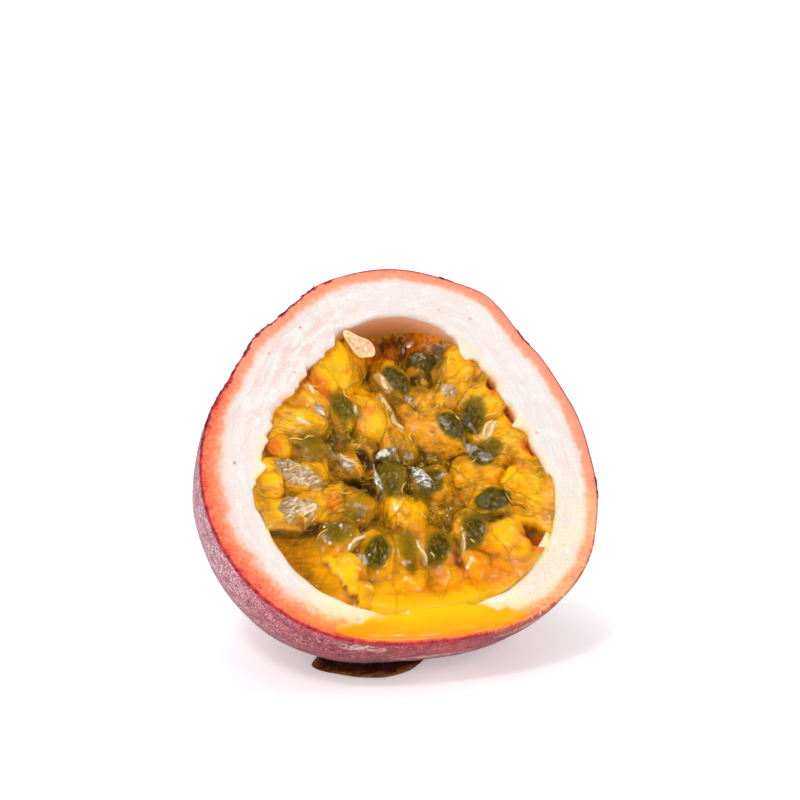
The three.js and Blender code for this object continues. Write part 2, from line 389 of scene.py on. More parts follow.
def make_rind():
    table = rind_stations()
    round_radius = table[:, 0] * SKIN_RADIUS + table[:, 1] * CAVITY_RADIUS + table[:, 2]
    stations = list(zip(round_radius, table[:, 3]))
    rind = draw_rings("rind_half", RIND_SEGMENTS, stations)
    rows = table[ring_numbers(rind, stations)]
    drawn_radius, angle = polar(points_of(rind))
    skin, cavity, extra, height, side = rows.T
    outer = lobed(SKIN_RADIUS, SKIN_WAVES, angle)
    outer += (skin_edge(angle) - outer) * np.exp(np.minimum(height, 0) / 7)
    inner = lobed(CAVITY_RADIUS, CAVITY_WAVES, angle)
    torn = ragged_edge(angle) * np.exp(np.minimum(height, 0) / 2.2) * np.clip(cavity, 0, 1) ** 3
    radius = skin * outer + cavity * inner + extra - torn
    dip = STALK_DIP_DEPTH * np.exp(-((skin * SKIN_RADIUS / STALK_DIP_RADIUS) ** 2)) * (side == 0)
    lone = radius < 0.2
    radius[lone] = drawn_radius[lone]
    shaped = from_polar(radius, angle, height + dip)
    outside = side == 0
    swell = 0.16 * grain(shaped, 9, 3) + 0.05 * grain(shaped, 2.2, 8)
    lean = shaped / np.linalg.norm(shaped, axis=1)[:, None]
    shaped[outside] += (lean * swell[:, None] * step(0, 2, -shaped[:, 2])[:, None])[outside]
    shaped[outside] = settle(shaped[outside])
    face = side == 1
    from_skin = np.where(face, outer - np.hypot(shaped[:, 0], shaped[:, 1]), 0)
    wall = outer - inner
    from_skin[side == 2] = wall[side == 2]
    flat = face & (extra > -CUT_EDGE * 0.9)
    sink = -0.18 * step(1.6, 4.2, from_skin) + 0.05 * grain(shaped, 1.6, 5)
    shaped[flat, 2] += sink[flat]
    inside_depth = np.where(side > 0, -height, 0)
    move_points(rind, shaped)
    note(rind, "from_skin", from_skin)
    note(rind, "down_wall", inside_depth)
    note(rind, "to_cavity", np.where(face, radius - inner, 0))
    note(rind, "below_cut", np.where(outside, -height + 0.35 * grain(shaped, 2.4, 40, 2), 0))
    around = from_polar(25, angle, from_skin + 0.5 * inside_depth)
    note_place(rind, "around", around)
    note_place(rind, "veins", around * (0.14, 0.14, 2.2))
    turn = np.degrees(angle)
    # 1 where the red layer is deep and strong, 0 where it is pale.
    blush = (0.5 - 0.5 * np.cos(np.radians(turn - 30))) ** 1.4
    blush *= 1 - 0.75 * np.exp(-((turn - 132) / 22) ** 2)
    note(rind, "blush", blush)
    note(rind, "bloom_and_lit_side", np.exp(-(degrees_off(turn, BLOOM_AND_LIT_SIDE) / BLOOM_AND_LIT_WIDTH) ** 2))
    scuff = np.zeros(len(shaped))
    for place, deep, wide, high in SCUFFS:
        aside = degrees_off(turn, place) / wide
        off = np.hypot(aside, (-height - deep) / high) + 0.3 * grain(shaped, 1.6, 61, 2)
        scuff = np.maximum(scuff, 1 - step(0.6, 1.1, off))
    note(rind, "scuff", scuff * outside)
    note(rind, "tan_side", step(85, 105, turn) * (1 - step(150, 172, turn)))
    note(rind, "hollow_side", step(48, 66, turn) * (1 - step(118, 134, turn)))
    wet = step(-80, -55, turn) * (1 - step(-30, 0, turn))
    note(rind, "juice_stain", wet * face)
    note(rind, "thin_juice", step(-146, -124, turn) * (1 - step(-62, -52, turn)) * face)
    # The skin's faces take the first material, the cut and the cavity the second.
    rind.data.materials.append(skin_material())
    rind.data.materials.append(flesh_material())
    corners = np.empty(len(rind.data.loops), int)
    rind.data.loops.foreach_get("vertex_index", corners)
    starts = np.empty(len(rind.data.polygons), int)
    rind.data.polygons.foreach_get("loop_start", starts)
    cut_side = np.maximum.reduceat(side[corners], starts) > 0
    rind.data.polygons.foreach_set("material_index", cut_side.astype(int))
    smooth(rind)
    set_up(rind)
    return rind


# ------------------------------------------------------------------------- pulp

def pulp_depth(x, y):
    """Depth of the sacs' tops below the cut."""
    across = (x - HOLLOW_MIDDLE[0]) / HOLLOW_RADII[0]
    along = (y - HOLLOW_MIDDLE[1]) / HOLLOW_RADII[1]
    middle = np.maximum(0, 1 - (np.hypot(x, y) / CAVITY_RADIUS) ** 2)
    return PULP_DEPTH + PULP_SAG * middle + HOLLOW_DEPTH * np.exp(-(across ** 2) - along ** 2)


SAC_WIDE = [0, 0.7, 1, 0.92, 0.66, 0]
SAC_ALONG = [-0.38, -0.29, -0.02, 0.22, 0.46, 0.66]


def sac_form():
    """One juice sac along +Y, blunt at the seed and drawn out to a tail."""
    put_down()
    bpy.ops.mesh.primitive_uv_sphere_add(segments=36, ring_count=24, radius=1)
    sac = bpy.context.object
    sac.name = "sac_form"
    points = points_of(sac)[:, [0, 2, 1]]
    along = points[:, 1]
    wide = np.sqrt(np.maximum(1e-6, 1 - along ** 2))
    place = np.interp(along, [-1, -0.75, 0, 0.5, 0.85, 1], SAC_ALONG)
    girth = np.interp(place, SAC_ALONG, SAC_WIDE)
    rounder = 0.5 * girth + 0.5 * wide * np.interp(along, [-1, 0, 1], [1, 1, 0.55])
    points[:, [0, 2]] *= (rounder / wide * ARIL_RADIUS)[:, None]
    points[:, 1] = place * ARIL_LENGTH
    move_points(sac, points)
    face_outwards(sac)
    return sac


def sac_frame(tail, droop=ARIL_DROOP, roll=0.0):
    """A turn that takes +Y to a sac's tail."""
    lie = Matrix.Rotation(radians(tail) - pi / 2, 3, "Z") @ Matrix.Rotation(-droop, 3, "X")
    return np.array(lie @ Matrix.Rotation(roll, 3, "Y"))


def place_copy(form, name, turn, size, place):
    return bare_copy(form, name, points_of(form) * size @ turn.T + np.array(place))


def pinch_flats(sac, rng, count):
    """Flattens a sac here and there, where its wet skin is stretched over a neighbour's."""
    points = points_of(sac)
    middle = points.mean(axis=0)
    points -= middle
    for _ in range(count):
        way = rng.normal(0, 1, 3) * (1, 1, 1.3)
        way /= np.linalg.norm(way)
        reach = points @ way
        over = np.maximum(0, reach - reach.max() * rng.uniform(0.78, 0.93))
        points -= over[:, None] * way
    move_points(sac, points + middle)


def core_form():
    """The body under the sacs, down to the floor of the cavity."""
    rim = CAVITY_RADIUS
    reach, depth = bowl(CAVITY_FULLNESS, 18)
    stations = [(max(0.01, share * rim), -down * CAVITY_DEPTH)
                for share, down in zip(reach[::-1], depth[::-1])]
    lid = [(rim * share, 1.0)
           for share in (0.97, 0.9, 0.8, 0.7, 0.6, 0.5, 0.4, 0.3, 0.2, 0.1, 0.001)]
    core = draw_rings("pulp_mass", 96, stations + lid)
    points = points_of(core)
    _, angle = polar(points)
    top = points[:, 2] > 0.5
    scale = 1.045 * lobed(CAVITY_RADIUS, CAVITY_WAVES, angle) / CAVITY_RADIUS
    points[:, :2] *= scale[:, None]
    surface = -pulp_depth(points[:, 0], points[:, 1]) - CORE_SINK
    rise = (CORE_RISE + 0.7) * (np.hypot(points[:, 0], points[:, 1]) / CAVITY_RADIUS) ** 4
    points[:, 2] = np.where(top, surface + rise, np.minimum(points[:, 2], surface + rise))
    move_points(core, points)
    return core


# Where the pulp differs from place to place. Each row is x, y, half length, half width,
# direction and strength. The deep-gel rows are darker, partly deeper juice and partly painted
# shade; the thin-gel rows are lighter, partly thinner juice and partly painted light.
THIN_GEL_AND_LIGHT = [
    (-15.6, 9.4, 2.8, 2.0, 30, 1.3), (-3.0, 7.1, 2.9, 1.6, -75, 1.2),
    (-3.8, 12.8, 2.6, 1.9, -35, 0.9), (-7.2, 15.6, 3.0, 2.2, 70, 1.1),
    (12.9, 14.8, 2.6, 1.4, -20, 0.8), (15.1, 8.3, 2.6, 2.0, -60, 1.2),
    (17.9, 3.1, 3.0, 2.0, -75, 1.2), (19.6, -2.5, 2.6, 1.9, -80, 1.0),
    (19.4, -7.2, 3.2, 1.8, -85, 1.1), (6.0, 8.2, 2.0, 1.6, 30, 0.9),
    (-13.2, -14.6, 4.2, 2.6, -35, 1.0), (-20.3, -1.0, 4.2, 1.3, -82, 1.1),
    (1.5, -6.2, 4.6, 1.5, -4, 0.9), (0.0, -20.5, 15.0, 2.6, 0, 0.8),
    (14.0, -13.0, 2.6, 2.0, 20, 0.7), (-4.0, -17.5, 2.2, 2.2, 0, 0.7),
    (13.5, -17.5, 2.6, 1.8, 30, 0.7), (-11.1, -4.8, 1.5, 1.3, 0, 0.8),
    (9.5, 0.5, 2.4, 1.3, 10, 0.6), (16.2, -4.6, 2.2, 1.4, -80, 0.5),
]
DEEP_GEL_AND_SHADE = [
    (-2.5, 0.3, 8.0, 4.6, 0, 1.2), (3.0, 12.0, 5.5, 5.0, 0, 0.6), (-9.0, -7.6, 5.5, 1.6, 0, 0.5),
    (-5.0, 1.7, 1.9, 0.9, -80, 2.6), (-6.0, -2.9, 2.6, 1.4, -35, 2.1),
    (-2.2, 0.4, 2.2, 1.5, 0, 1.2), (4.2, 20.3, 7.0, 2.4, 0, 0.9), (11.6, 18.6, 3.0, 1.2, -10, 0.7),
    (-12.6, 4.5, 3.4, 2.4, 0, 1.2), (7.2, 13.6, 2.8, 2.6, 0, 1.0), (-1.0, 8.6, 1.2, 2.2, 80, 1.0),
    (-1.2, -1.7, 2.8, 2.6, 0, 1.0), (8.1, -9.5, 3.4, 1.7, 0, 0.8), (-18.6, -8.9, 4.2, 0.7, -5, 1.5),
    (-18.2, -12.0, 3.8, 2.4, -45, 0.6), (16.9, 11.5, 1.4, 0.9, 40, 0.4),
    (19.0, 6.2, 1.3, 0.8, -60, 0.4), (20.5, 0.8, 1.0, 0.7, -80, 0.4),
    (18.9, -13.6, 2.3, 1.2, -58, 0.9), (-9.4, -17.0, 1.8, 0.6, -75, 0.5),
    (-1.4, -14.6, 2.6, 0.9, 90, 1.5), (5.9, -15.5, 2.0, 0.6, -80, 1.1),
    (-13.0, -8.4, 3.0, 0.9, 5, 1.1), (12.6, -9.6, 3.0, 0.8, 0, 1.2), (0.6, 4.6, 2.2, 1.2, -60, 0.9),
    (-8.9, 6.6, 1.2, 2.0, 0, 1.0), (13.4, 4.4, 1.4, 0.8, -60, 1.2), (4.6, 8.6, 0.6, 2.0, 30, 1.0),
    (-8.3, 10.6, 0.7, 2.4, 20, 0.8),
]
WARM_GEL = [
    (-10.3, 14.0, 1.9, 1.6, 0, 0.8), (-9.2, 12.2, 1.0, 1.6, 0, 1.0), (-19.0, 4.8, 1.5, 1.1, 0, 1.0),
    (4.2, 20.6, 7.0, 2.4, 0, 0.8), (7.0, -19.0, 9.0, 2.2, 6, 0.55),
    (-9.4, -17.0, 1.8, 0.8, -75, 0.4), (17.3, 10.9, 1.8, 1.2, 40, 1.0),
    (19.3, 5.8, 1.6, 1.1, -60, 1.0), (20.4, 0.8, 1.3, 1.0, -80, 1.0),
    (18.0, -14.2, 2.8, 1.5, -58, 1.0), (-18.6, -12.0, 3.6, 2.6, -45, 0.3),
    (13.6, 15.6, 1.4, 1.2, 0, 0.7), (5.9, -16.0, 2.4, 0.8, -80, 0.9),
    (18.4, -3.4, 1.0, 2.6, 0, 0.4), (-3.2, 8.9, 1.2, 1.0, 0, 0.5), (-11.1, -4.8, 1.6, 1.4, 0, 0.7),
    (-5.8, -3.2, 2.0, 1.2, -35, 0.8), (10.2, -15.6, 2.4, 1.6, 0, 0.6),
]
# Dry, silvery skins that lie over the sacs, crumpled and nearly flat. Their silver colour is
# partly their own and partly painted reflection.
SILVER_SKINS_AND_GLARE = [
    (-15.9, 0.2, 4.0, 2.0, -42, 0.95), (-17.9, -5.0, 1.7, 2.3, -20, 0.9),
    (-15.3, -5.6, 1.5, 2.0, -20, 0.9), (10.1, 11.1, 1.5, 1.3, 15, 0.9),
    (-10.5, 9.4, 1.8, 0.62, -62, 1.0), (7.2, 17.9, 1.0, 0.7, 0, 0.8),
    (-7.2, -6.4, 1.0, 0.8, 20, 0.5), (-8.8, -14.1, 0.7, 1.1, 10, 0.8),
    (-1.5, 2.5, 1.6, 0.8, 12, 1.2), (-7.8, 1.6, 1.9, 0.6, -68, 1.0),
    (-3.4, -1.4, 2.1, 0.45, -82, 1.25), (11.8, 1.5, 2.2, 0.8, -45, 0.95),
    (3.0, -2.2, 1.0, 2.2, 20, 1.15), (6.2, -2.2, 1.3, 0.35, 32, 1.0),
    (3.8, 10.6, 0.9, 0.6, -30, 1.0), (7.8, 6.2, 0.7, 0.55, 0, 0.6),
    (10.6, 3.7, 1.5, 0.35, -88, 1.1), (12.6, 4.6, 1.3, 0.35, -62, 0.9),
    (2.0, 1.5, 0.7, 0.5, 0, 0.8), (6.6, -7.1, 0.7, 0.3, 0, 1.2), (-9.4, 3.4, 1.2, 0.5, -60, 0.8),
    (13.4, -0.2, 1.3, 0.7, -40, 0.9),
]
# Cream threads that hold the sacs to the wall: the two ends and the width.
THREADS = [
    (-11.9, 14.3, -10.8, 12.5, 0.34), (0.2, 15.4, 1.1, 12.7, 0.4), (-0.3, 11.7, 0.8, 9.2, 0.42),
    (1.0, 8.8, 1.6, 5.7, 0.36), (13.7, 2.6, 16.3, 5.0, 0.3), (13.1, 2.9, 15.5, 5.4, 0.22),
    (-10.6, -12.4, -7.2, -9.8, 0.36), (-5.1, 10.1, -4.9, 9.0, 0.26), (-14.4, 8.4, -13.0, 7.3, 0.24),
    (-8.4, 3.2, -6.4, 0.8, 0.22), (0.4, -12.0, 0.9, -15.6, 0.24), (7.3, -12.0, 7.0, -14.6, 0.2),
]


def fine_threads_and_glints():
    """Short, thin threads along the sides of the sacs, golden; partly they stand for painted glints on
    the folds.
    """
    rng = np.random.default_rng(23)
    rows = []
    for x, y, tail, size in ARILS:
        way = radians(tail + rng.uniform(-30, 30))
        aside = rng.choice((-1, 1)) * rng.uniform(1.3, 2.4)
        start_x = x - aside * sin(way) + rng.uniform(-0.5, 1.2) * cos(way)
        start_y = y + aside * cos(way) + rng.uniform(-0.5, 1.2) * sin(way)
        long = rng.uniform(0.8, 2.4)
        width = rng.uniform(0.07, 0.16)
        end_x, end_y = start_x + long * cos(way), start_y + long * sin(way)
        if np.hypot(start_x, start_y) < 18 and start_y < 14:
            rows.append((start_x, start_y, end_x, end_y, width))
    return rows


# Where a sac has left a torn pocket in the pulp, in rows as above.
TORN_POCKETS = [
    (17.4, 11.7, 1.7, 1.3, 40, 1.1), (19.4, 6.3, 1.7, 1.2, -60, 1.1),
    (21.2, 0.8, 1.4, 1.0, -80, 0.9), (18.9, -13.6, 2.5, 1.4, -58, 1.5),
    (-5.0, 1.7, 2.2, 1.0, -80, 1.0), (-6.2, -2.6, 2.0, 1.0, -35, 0.9),
]
# Sacs that stand high against the wall: x, y, direction, size and lift.
EDGE_SACS = [
    (-6.2, 18.4, 100, 0.8, 2.0), (-9.0, 16.8, 120, 0.8, 1.0), (-3.4, 17.6, 80, 0.75, 1.8),
    (12.6, 15.6, 50, 0.8, 1.2), (-20.0, 1.2, 200, 0.75, 0.4), (20.0, -9.0, 330, 0.75, 0.4),
]
# The degrees between sacs along the wall, and the number that lie deeper.
WALL_SAC_STEP = 15
DEEP_SACS = 20
# Heights, in mm from the cut, where the sacs end and the bowl that the rind hides starts.
SACS_END = -9
BOWL_TOP = -12
VOXEL = 0.24
BOWL_FACES_KEPT = 0.58
# The silvery skins lie about square to this direction.
GLARE_WAY = (-0.37, 0.0, 0.93)


def along_and_across(x, y, row):
    """Places along and across a row's oval, each 1 at its edge."""
    place_x, place_y, length, width, direction, _ = row
    way = radians(direction)
    along = ((x - place_x) * cos(way) + (y - place_y) * sin(way)) / length
    across = ((y - place_y) * cos(way) - (x - place_x) * sin(way)) / width
    return along, across


def over_oval(x, y, row, soft):
    """A row's strength inside its oval and 0 outside, with an edge `soft` wide."""
    reach = np.hypot(*along_and_across(x, y, row))
    return row[-1] * (1 - step(1 - soft, 1 + soft, reach))


def over_scrap(x, y, row, soft):
    """The same for a torn scrap with straight sides, each scrap's own."""
    along, across = along_and_across(x, y, row)
    rng = np.random.default_rng(int(100 * abs(row[0]) + 7 * abs(row[1])))
    reach = np.full(len(x), -9.0)
    for side in range(6):
        turn = side * pi / 3 + rng.uniform(-0.45, 0.45)
        reach = np.maximum(reach, (along * cos(turn) + across * sin(turn)) / rng.uniform(0.68, 1.0))
    return row[-1] * (1 - step(1 - soft, 1 + soft, reach))


def press_flat(points, row, way, depth):
    """Presses the points over a row's oval onto a plane that looks a given way."""
    x, y, z = points.T
    share = np.clip(over_scrap(x, y, row, 0.1), 0, 1) * (z > BOWL_TOP)
    centre = np.array([row[0], row[1], 0.0])
    on = share > 0.5
    if not on.any():
        return
    centre[2] = np.percentile(z[on], 60) - depth
    above = (points - centre) @ way
    share = share * (np.abs(above) < 2.4)
    points -= (above * share)[:, None] * way


def nearest_sac(points):
    """For each point, the sac that it lies on, how far it is from that sac's spine, and its
    place along and across it."""
    x, y, z = points.T
    nearest = np.full(len(points), 99.0)
    number = np.zeros(len(points))
    place = np.zeros((len(points), 3))
    for count, (sx, sy, tail, size) in enumerate(ARILS):
        way = np.array([cos(radians(tail)), sin(radians(tail))])
        off = np.column_stack([x - sx, y - sy])
        along = off @ way
        across = off @ np.array([-way[1], way[0]])
        spine = np.clip(along, -0.5, 4.5 * size)
        away = np.hypot(along - spine, across) / size
        on = away < nearest
        nearest[on] = away[on]
        number[on] = count
        place[on] = np.column_stack([across, 0.32 * along, z])[on] + 7.3 * count
    return nearest, number, place


def make_pulp():
    sac = sac_form()
    core = core_form()
    rng = np.random.default_rng(11)
    copies = []

    def add_sac(x, y, tail, size, sink, droop, roll):
        turn = sac_frame(tail, droop, roll)
        place = (x, y, -pulp_depth(x, y) - ARIL_SINK - sink)
        copies.append(place_copy(sac, "sac", turn, size, place))
        pinch_flats(copies[-1], rng, 14)

    for x, y, tail, size in ARILS:
        girth = size * np.array([rng.uniform(1.0, 1.25), rng.uniform(0.95, 1.15),
                                 rng.uniform(0.9, 1.05)])
        sink = 1.5 * np.exp(-((x + 2.5) ** 2 + (y - 0.5) ** 2) / 30) - rng.uniform(-0.2, 0.5)
        add_sac(x, y, tail + rng.uniform(-9, 9), girth, sink, rng.uniform(0, 0.28),
                rng.uniform(-0.5, 0.5))
    for turn in range(0, 360, WALL_SAC_STEP):
        angle = radians(turn + rng.uniform(-5, 5))
        high_side = 50 < turn < 100
        reach = lobed(CAVITY_RADIUS, CAVITY_WAVES, angle) - rng.uniform(1.6, 3.6)
        girth = rng.uniform(0.65, 0.95) * np.array([rng.uniform(0.9, 1.3), 0.9, 1])
        sink = 0.5 if high_side else rng.uniform(-0.9, 0.1)
        add_sac(reach * cos(angle), reach * sin(angle), turn + rng.uniform(-35, 35), girth,
                sink, rng.uniform(-0.1, 0.3), rng.uniform(-0.5, 0.5))
    for x, y, tail, size, lift in EDGE_SACS:
        add_sac(x, y, tail, size, -lift, 0.1, 0.2)
    for _ in range(DEEP_SACS):
        angle, radius = rng.uniform(0, 2 * pi), 18 * np.sqrt(rng.uniform(0.02, 1))
        girth = rng.uniform(0.7, 0.95) * np.array([rng.uniform(0.9, 1.25), 1, 1])
        add_sac(radius * cos(angle), radius * sin(angle), rng.uniform(0, 360), girth,
                rng.uniform(0.6, 1.6), rng.uniform(-0.2, 0.4), 0)
    pulp = join_up([core, *copies], sac)
    apply_modifier(pulp, "REMESH", mode="VOXEL", voxel_size=VOXEL, adaptivity=0)
    # The bowl that the rind hides does with few faces.
    hidden = pulp.vertex_groups.new(name="hidden")
    low_points = np.flatnonzero(points_of(pulp)[:, 2] < BOWL_TOP)
    hidden.add(low_points.tolist(), 1.0, "REPLACE")
    apply_modifier(pulp, "DECIMATE", ratio=BOWL_FACES_KEPT, vertex_group="hidden")
    pulp.vertex_groups.clear()
    apply_modifier(pulp, "SMOOTH", factor=0.5, iterations=2)
    points = points_of(pulp)
    push = normals_of(pulp)
    x, y, z = points.T
    top = step(-14, -11, z)
    # Low in the cut the sacs stand in juice, which fills between them and smooths them.
    level = -9.6 - 0.1 * x + 1.3 * np.sin(x * 0.9) * step(-13, -9, x)
    wet = 1 - step(-1.2, 1.2, y - level)
    wet *= top
    shore = x + 0.35 * (y + 11) + 1.3 * grain(points, 2.4, 51, 2)
    pooled = step(7.8, 8.6, -y) * (1 - step(-16.4, -12.6, shore)) * top
    turn = np.degrees(np.arctan2(y, x))
    edge = np.hypot(x, y) - lobed(CAVITY_RADIUS, CAVITY_WAVES, np.radians(turn))
    near_lip = step(-121, -106, turn) * (1 - step(-75, -60, turn))
    brim = near_lip * step(-5.0, -0.8, edge)
    bed = -pulp_depth(x, y) - 1.65 + 0.3 * grain(points, 3.0, 33, 1)
    z = z + np.maximum(0, bed - z) * 0.8 * top * (z > SACS_END)
    surface = -pulp_depth(x, y) - 0.75 - 0.25 * pooled + 1.75 * brim
    surface -= 0.7 * near_lip * step(-0.9, -0.1, edge)
    filled = np.where(pooled > 0.5, surface, np.maximum(z, surface) * 0.75 + z * 0.25)
    filled = filled * (1 - brim) + surface * brim
    points[:, 2] = z + (filled - z) * np.maximum(wet, pooled) * (z > SACS_END)
    _, _, sac_place = nearest_sac(points)
    dry = 1 - 0.55 * wet
    folds = grain(sac_place, 1.5, 6, 2)
    creases = 0.5 - np.abs(grain(points, 2.6, 14, 2))
    tucks = 0.35 - np.abs(grain(sac_place, 0.95, 24, 1))
    lumps = 0.3 * grain(points, 4.4, 2, 2) * (1 - 0.4 * wet)
    lumps += (0.16 * folds + 0.4 * creases + 0.16 * tucks) * dry
    lumps *= (1 - pooled) * (1 - 0.8 * brim)
    points += push * (lumps * top)[:, None]
    for row in TORN_POCKETS:
        rough_x, rough_y = points[:, 0] + 0.3 * folds, points[:, 1] - 0.3 * folds
        points[:, 2] -= over_scrap(rough_x, rough_y, row, 0.35) * (points[:, 2] > SACS_END)
    for row in SILVER_SKINS_AND_GLARE:
        tilt = np.array(GLARE_WAY) + rng.normal(0, 0.05, 3)
        press_flat(points, row, tilt / np.linalg.norm(tilt), -0.12)
        patch = np.clip(over_scrap(points[:, 0], points[:, 1], row, 0.2), 0, 1)
        patch *= points[:, 2] > SACS_END
        crumple = grain(points * (1, 0.5, 1), 0.9, 21, 2) if row[2] > 1.3 else 0 * patch
        points[:, 2] += 0.08 * crumple * patch
    # Kept inside the cavity.
    radius, angle = polar(points)
    room = lobed(CAVITY_RADIUS, CAVITY_WAVES, angle) + 0.15
    room += np.maximum(0, -ragged_edge(angle)) * np.exp(np.minimum(points[:, 2], 0) / 2.2)
    share = np.clip(-points[:, 2] / CAVITY_DEPTH, 0, 0.999)
    room *= (1 - share ** CAVITY_FULLNESS) ** (1 / CAVITY_FULLNESS)
    squeeze = np.where(radius > room, room / np.maximum(radius, 0.01), 1)
    points[:, :2] *= squeeze[:, None]
    points[:, 2] = np.maximum(points[:, 2], -CAVITY_DEPTH)
    move_points(pulp, points)
    places = seed_places(points)
    note_pulp(pulp, points, places, wet)
    note(pulp, "brim", brim)
    threads = make_threads(points)
    return finish_piece(pulp, pulp_material()), places, threads


def hollows(piece, rounds):
    """How far each point lies below the surface once that is smoothed, in mm."""
    ends = np.empty(len(piece.data.edges) * 2, int)
    piece.data.edges.foreach_get("vertices", ends)
    first, second = ends[0::2], ends[1::2]
    points = points_of(piece)
    count = len(points)
    links = np.bincount(first, minlength=count) + np.bincount(second, minlength=count)
    calm = points.copy()
    for _ in range(rounds):
        total = np.zeros_like(calm)
        for axis in range(3):
            total[:, axis] = np.bincount(first, calm[second, axis], count)
            total[:, axis] += np.bincount(second, calm[first, axis], count)
        calm = 0.5 * calm + 0.5 * total / links[:, None]
    return ((calm - points) * normals_of(piece)).sum(axis=1)


SEED_HALF = (1.85, 2.75, 1.3)

# Seeds that show: x, y, direction, how far they stand out of the gel, and how dark they look.
SEEDS = [
    (7.9, 17.0, 150, 0.15, 1.0), (2.6, 14.2, 120, 0.0, 0.95), (-6.7, 10.1, 130, -0.3, 0.75),
    (-12.5, 4.3, 120, -0.8, 0.45), (8.9, 5.0, 125, -0.1, 0.95), (12.8, 6.6, 65, -0.3, 0.8),
    (13.4, 0.4, 30, -0.2, 0.8), (-1.2, -1.6, 90, -0.8, 0.7), (12.9, -7.2, 0, 0.12, 1.0),
    (9.0, -11.5, 75, -0.4, 0.85), (3.2, -13.5, 60, -0.4, 0.9), (-6.4, -13.3, 60, -0.3, 0.9),
    (-1.7, -13.1, 85, -0.9, 0.5), (-11.4, -9.6, 20, -0.7, 0.65), (-7.6, -5.6, 30, -0.9, 0.4),
    (4.2, -3.0, 60, -0.2, 0.8),
]


def seed_places(points):
    """The middle of each seed, measured from the gel over it."""
    places = []
    for x, y, _, proud, _ in SEEDS:
        near = np.hypot(points[:, 0] - x, points[:, 1] - y) < 1.2
        over = np.percentile(points[near & (points[:, 2] > -13), 2], 60)
        places.append((x, y, over + proud - SEED_HALF[2]))
    return places


def note_pulp(pulp, points, places, wet):
    """What lies under each point of the pulp: seeds, depth and the sac it is on; also the painted shade
    in its creases and hollows, and the painted reflection on its silvery skins.
    """
    x, y, z = points.T
    seed = np.zeros(len(points))
    halo = np.zeros(len(points))
    wobble = 0.16 * grain(points, 1.3, 31, 2)
    for place, (_, _, turn, proud, dark) in zip(places, SEEDS):
        local = (points - np.array(place)) @ sac_frame(turn, 0.0)
        aside = np.hypot(local[:, 0] / SEED_HALF[0], local[:, 1] / SEED_HALF[1]) + wobble
        soft = 0.14 + max(0, 0.15 - proud) * 0.5
        shade = 1 - step(0.95 - soft, 1.0 + soft, aside)
        gel = np.maximum(0, local[:, 2] - SEED_HALF[2] - 0.4)
        seed = np.maximum(seed, dark * shade * np.exp(-gel / 3.0))
        halo = np.maximum(halo, 1 - step(0.9, 2.3, aside))
    note(pulp, "seed_shade", seed)
    nearest, number, sac_place = nearest_sac(points)
    tints = np.random.default_rng(5).uniform(0, 1, len(ARILS))
    # Depth darkens the gel: partly deeper juice, partly painted shade deep in the hollow and between
    # the sacs.
    depth = 0.4 * (-z - pulp_depth(x, y) - 0.6) + 0.7 * step(0.9, 3.6, nearest) + 0.9 * halo
    for row in DEEP_GEL_AND_SHADE:
        depth += over_oval(x, y, row, 0.45)
    for row in THIN_GEL_AND_LIGHT:
        depth -= over_oval(x, y, row, 0.45)
    # Painted shade in the creases and hollows of the surface.
    creases = np.clip(hollows(pulp, 10), -0.3, 0.6)
    depth += 0.7 * np.clip(hollows(pulp, 80), -1, 2) + 2.8 * creases
    warm = 0.22 * tints[number.astype(int)] - 0.09
    for row in WARM_GEL:
        warm = np.maximum(warm, over_oval(x, y, row, 0.4))
    # The silvery skins' mark: partly their own colour, partly painted reflection.
    silver_and_glare = np.zeros(len(points))
    torn = 0.2 * grain(points, 0.8, 17, 2)
    for row in SILVER_SKINS_AND_GLARE:
        silver_and_glare = np.maximum(silver_and_glare, over_scrap(x + torn, y - torn, row, 0.1))
    cream = np.zeros(len(points))
    for tab_x, tab_y, end_x, end_y, width in THREADS:
        way = np.array([end_x - tab_x, end_y - tab_y])
        long = np.hypot(*way)
        off = np.column_stack([x - tab_x, y - tab_y])
        along = np.clip(off @ way / long, 0, long)
        away = np.linalg.norm(off - along[:, None] * way / long, axis=1)
        cream = np.maximum(cream, 1 - step(0.8 * width, 1.8 * width, away))
    note(pulp, "gel_depth_and_shade", depth)
    note(pulp, "warmth", np.clip(warm, 0, 1))
    note(pulp, "silver_skin_and_glare", silver_and_glare)
    note(pulp, "cream_edge", cream)
    note(pulp, "in_juice", wet)
    note_place(pulp, "sac_place", sac_place)


def make_threads(points):
    """Thin cream threads that lie on the sacs."""
    put_down()
    bpy.ops.mesh.primitive_uv_sphere_add(segments=10, ring_count=24, radius=1)
    form = bpy.context.object
    copies = []
    for count, (x, y, end_x, end_y, width) in enumerate(THREADS + fine_threads_and_glints()):
        shape = points_of(form)
        along = (shape[:, 2] + 1) / 2
        wave = 0.25 * np.sin(along * 5 + count) * np.hypot(end_x - x, end_y - y) / 3
        way = np.array([end_x - x, end_y - y])
        side = np.array([-way[1], way[0]]) / np.hypot(*way)
        spine = np.array([x, y]) + along[:, None] * way + wave[:, None] * side
        lie = []
        for share in np.linspace(0, 1, 13):
            middle = np.array([x, y]) + share * way
            near = np.hypot(points[:, 0] - middle[0], points[:, 1] - middle[1]) < 0.7
            lie.append(np.percentile(points[near & (points[:, 2] > BOWL_TOP), 2], 75))
        high = np.interp(along, np.linspace(0, 1, 13), lie) + 0.02
        spread = spine + shape[:, 0][:, None] * side * width
        rise = high + 0.5 * width * shape[:, 1]
        copy = bare_copy(form, "threads", np.column_stack([spread, rise]))
        note(copy, "golden", np.full(len(shape), float(count >= len(THREADS))))
        copies.append(copy)
    threads = join_up(copies, form)
    face_outwards(threads)
    return finish_piece(threads, thread_material())


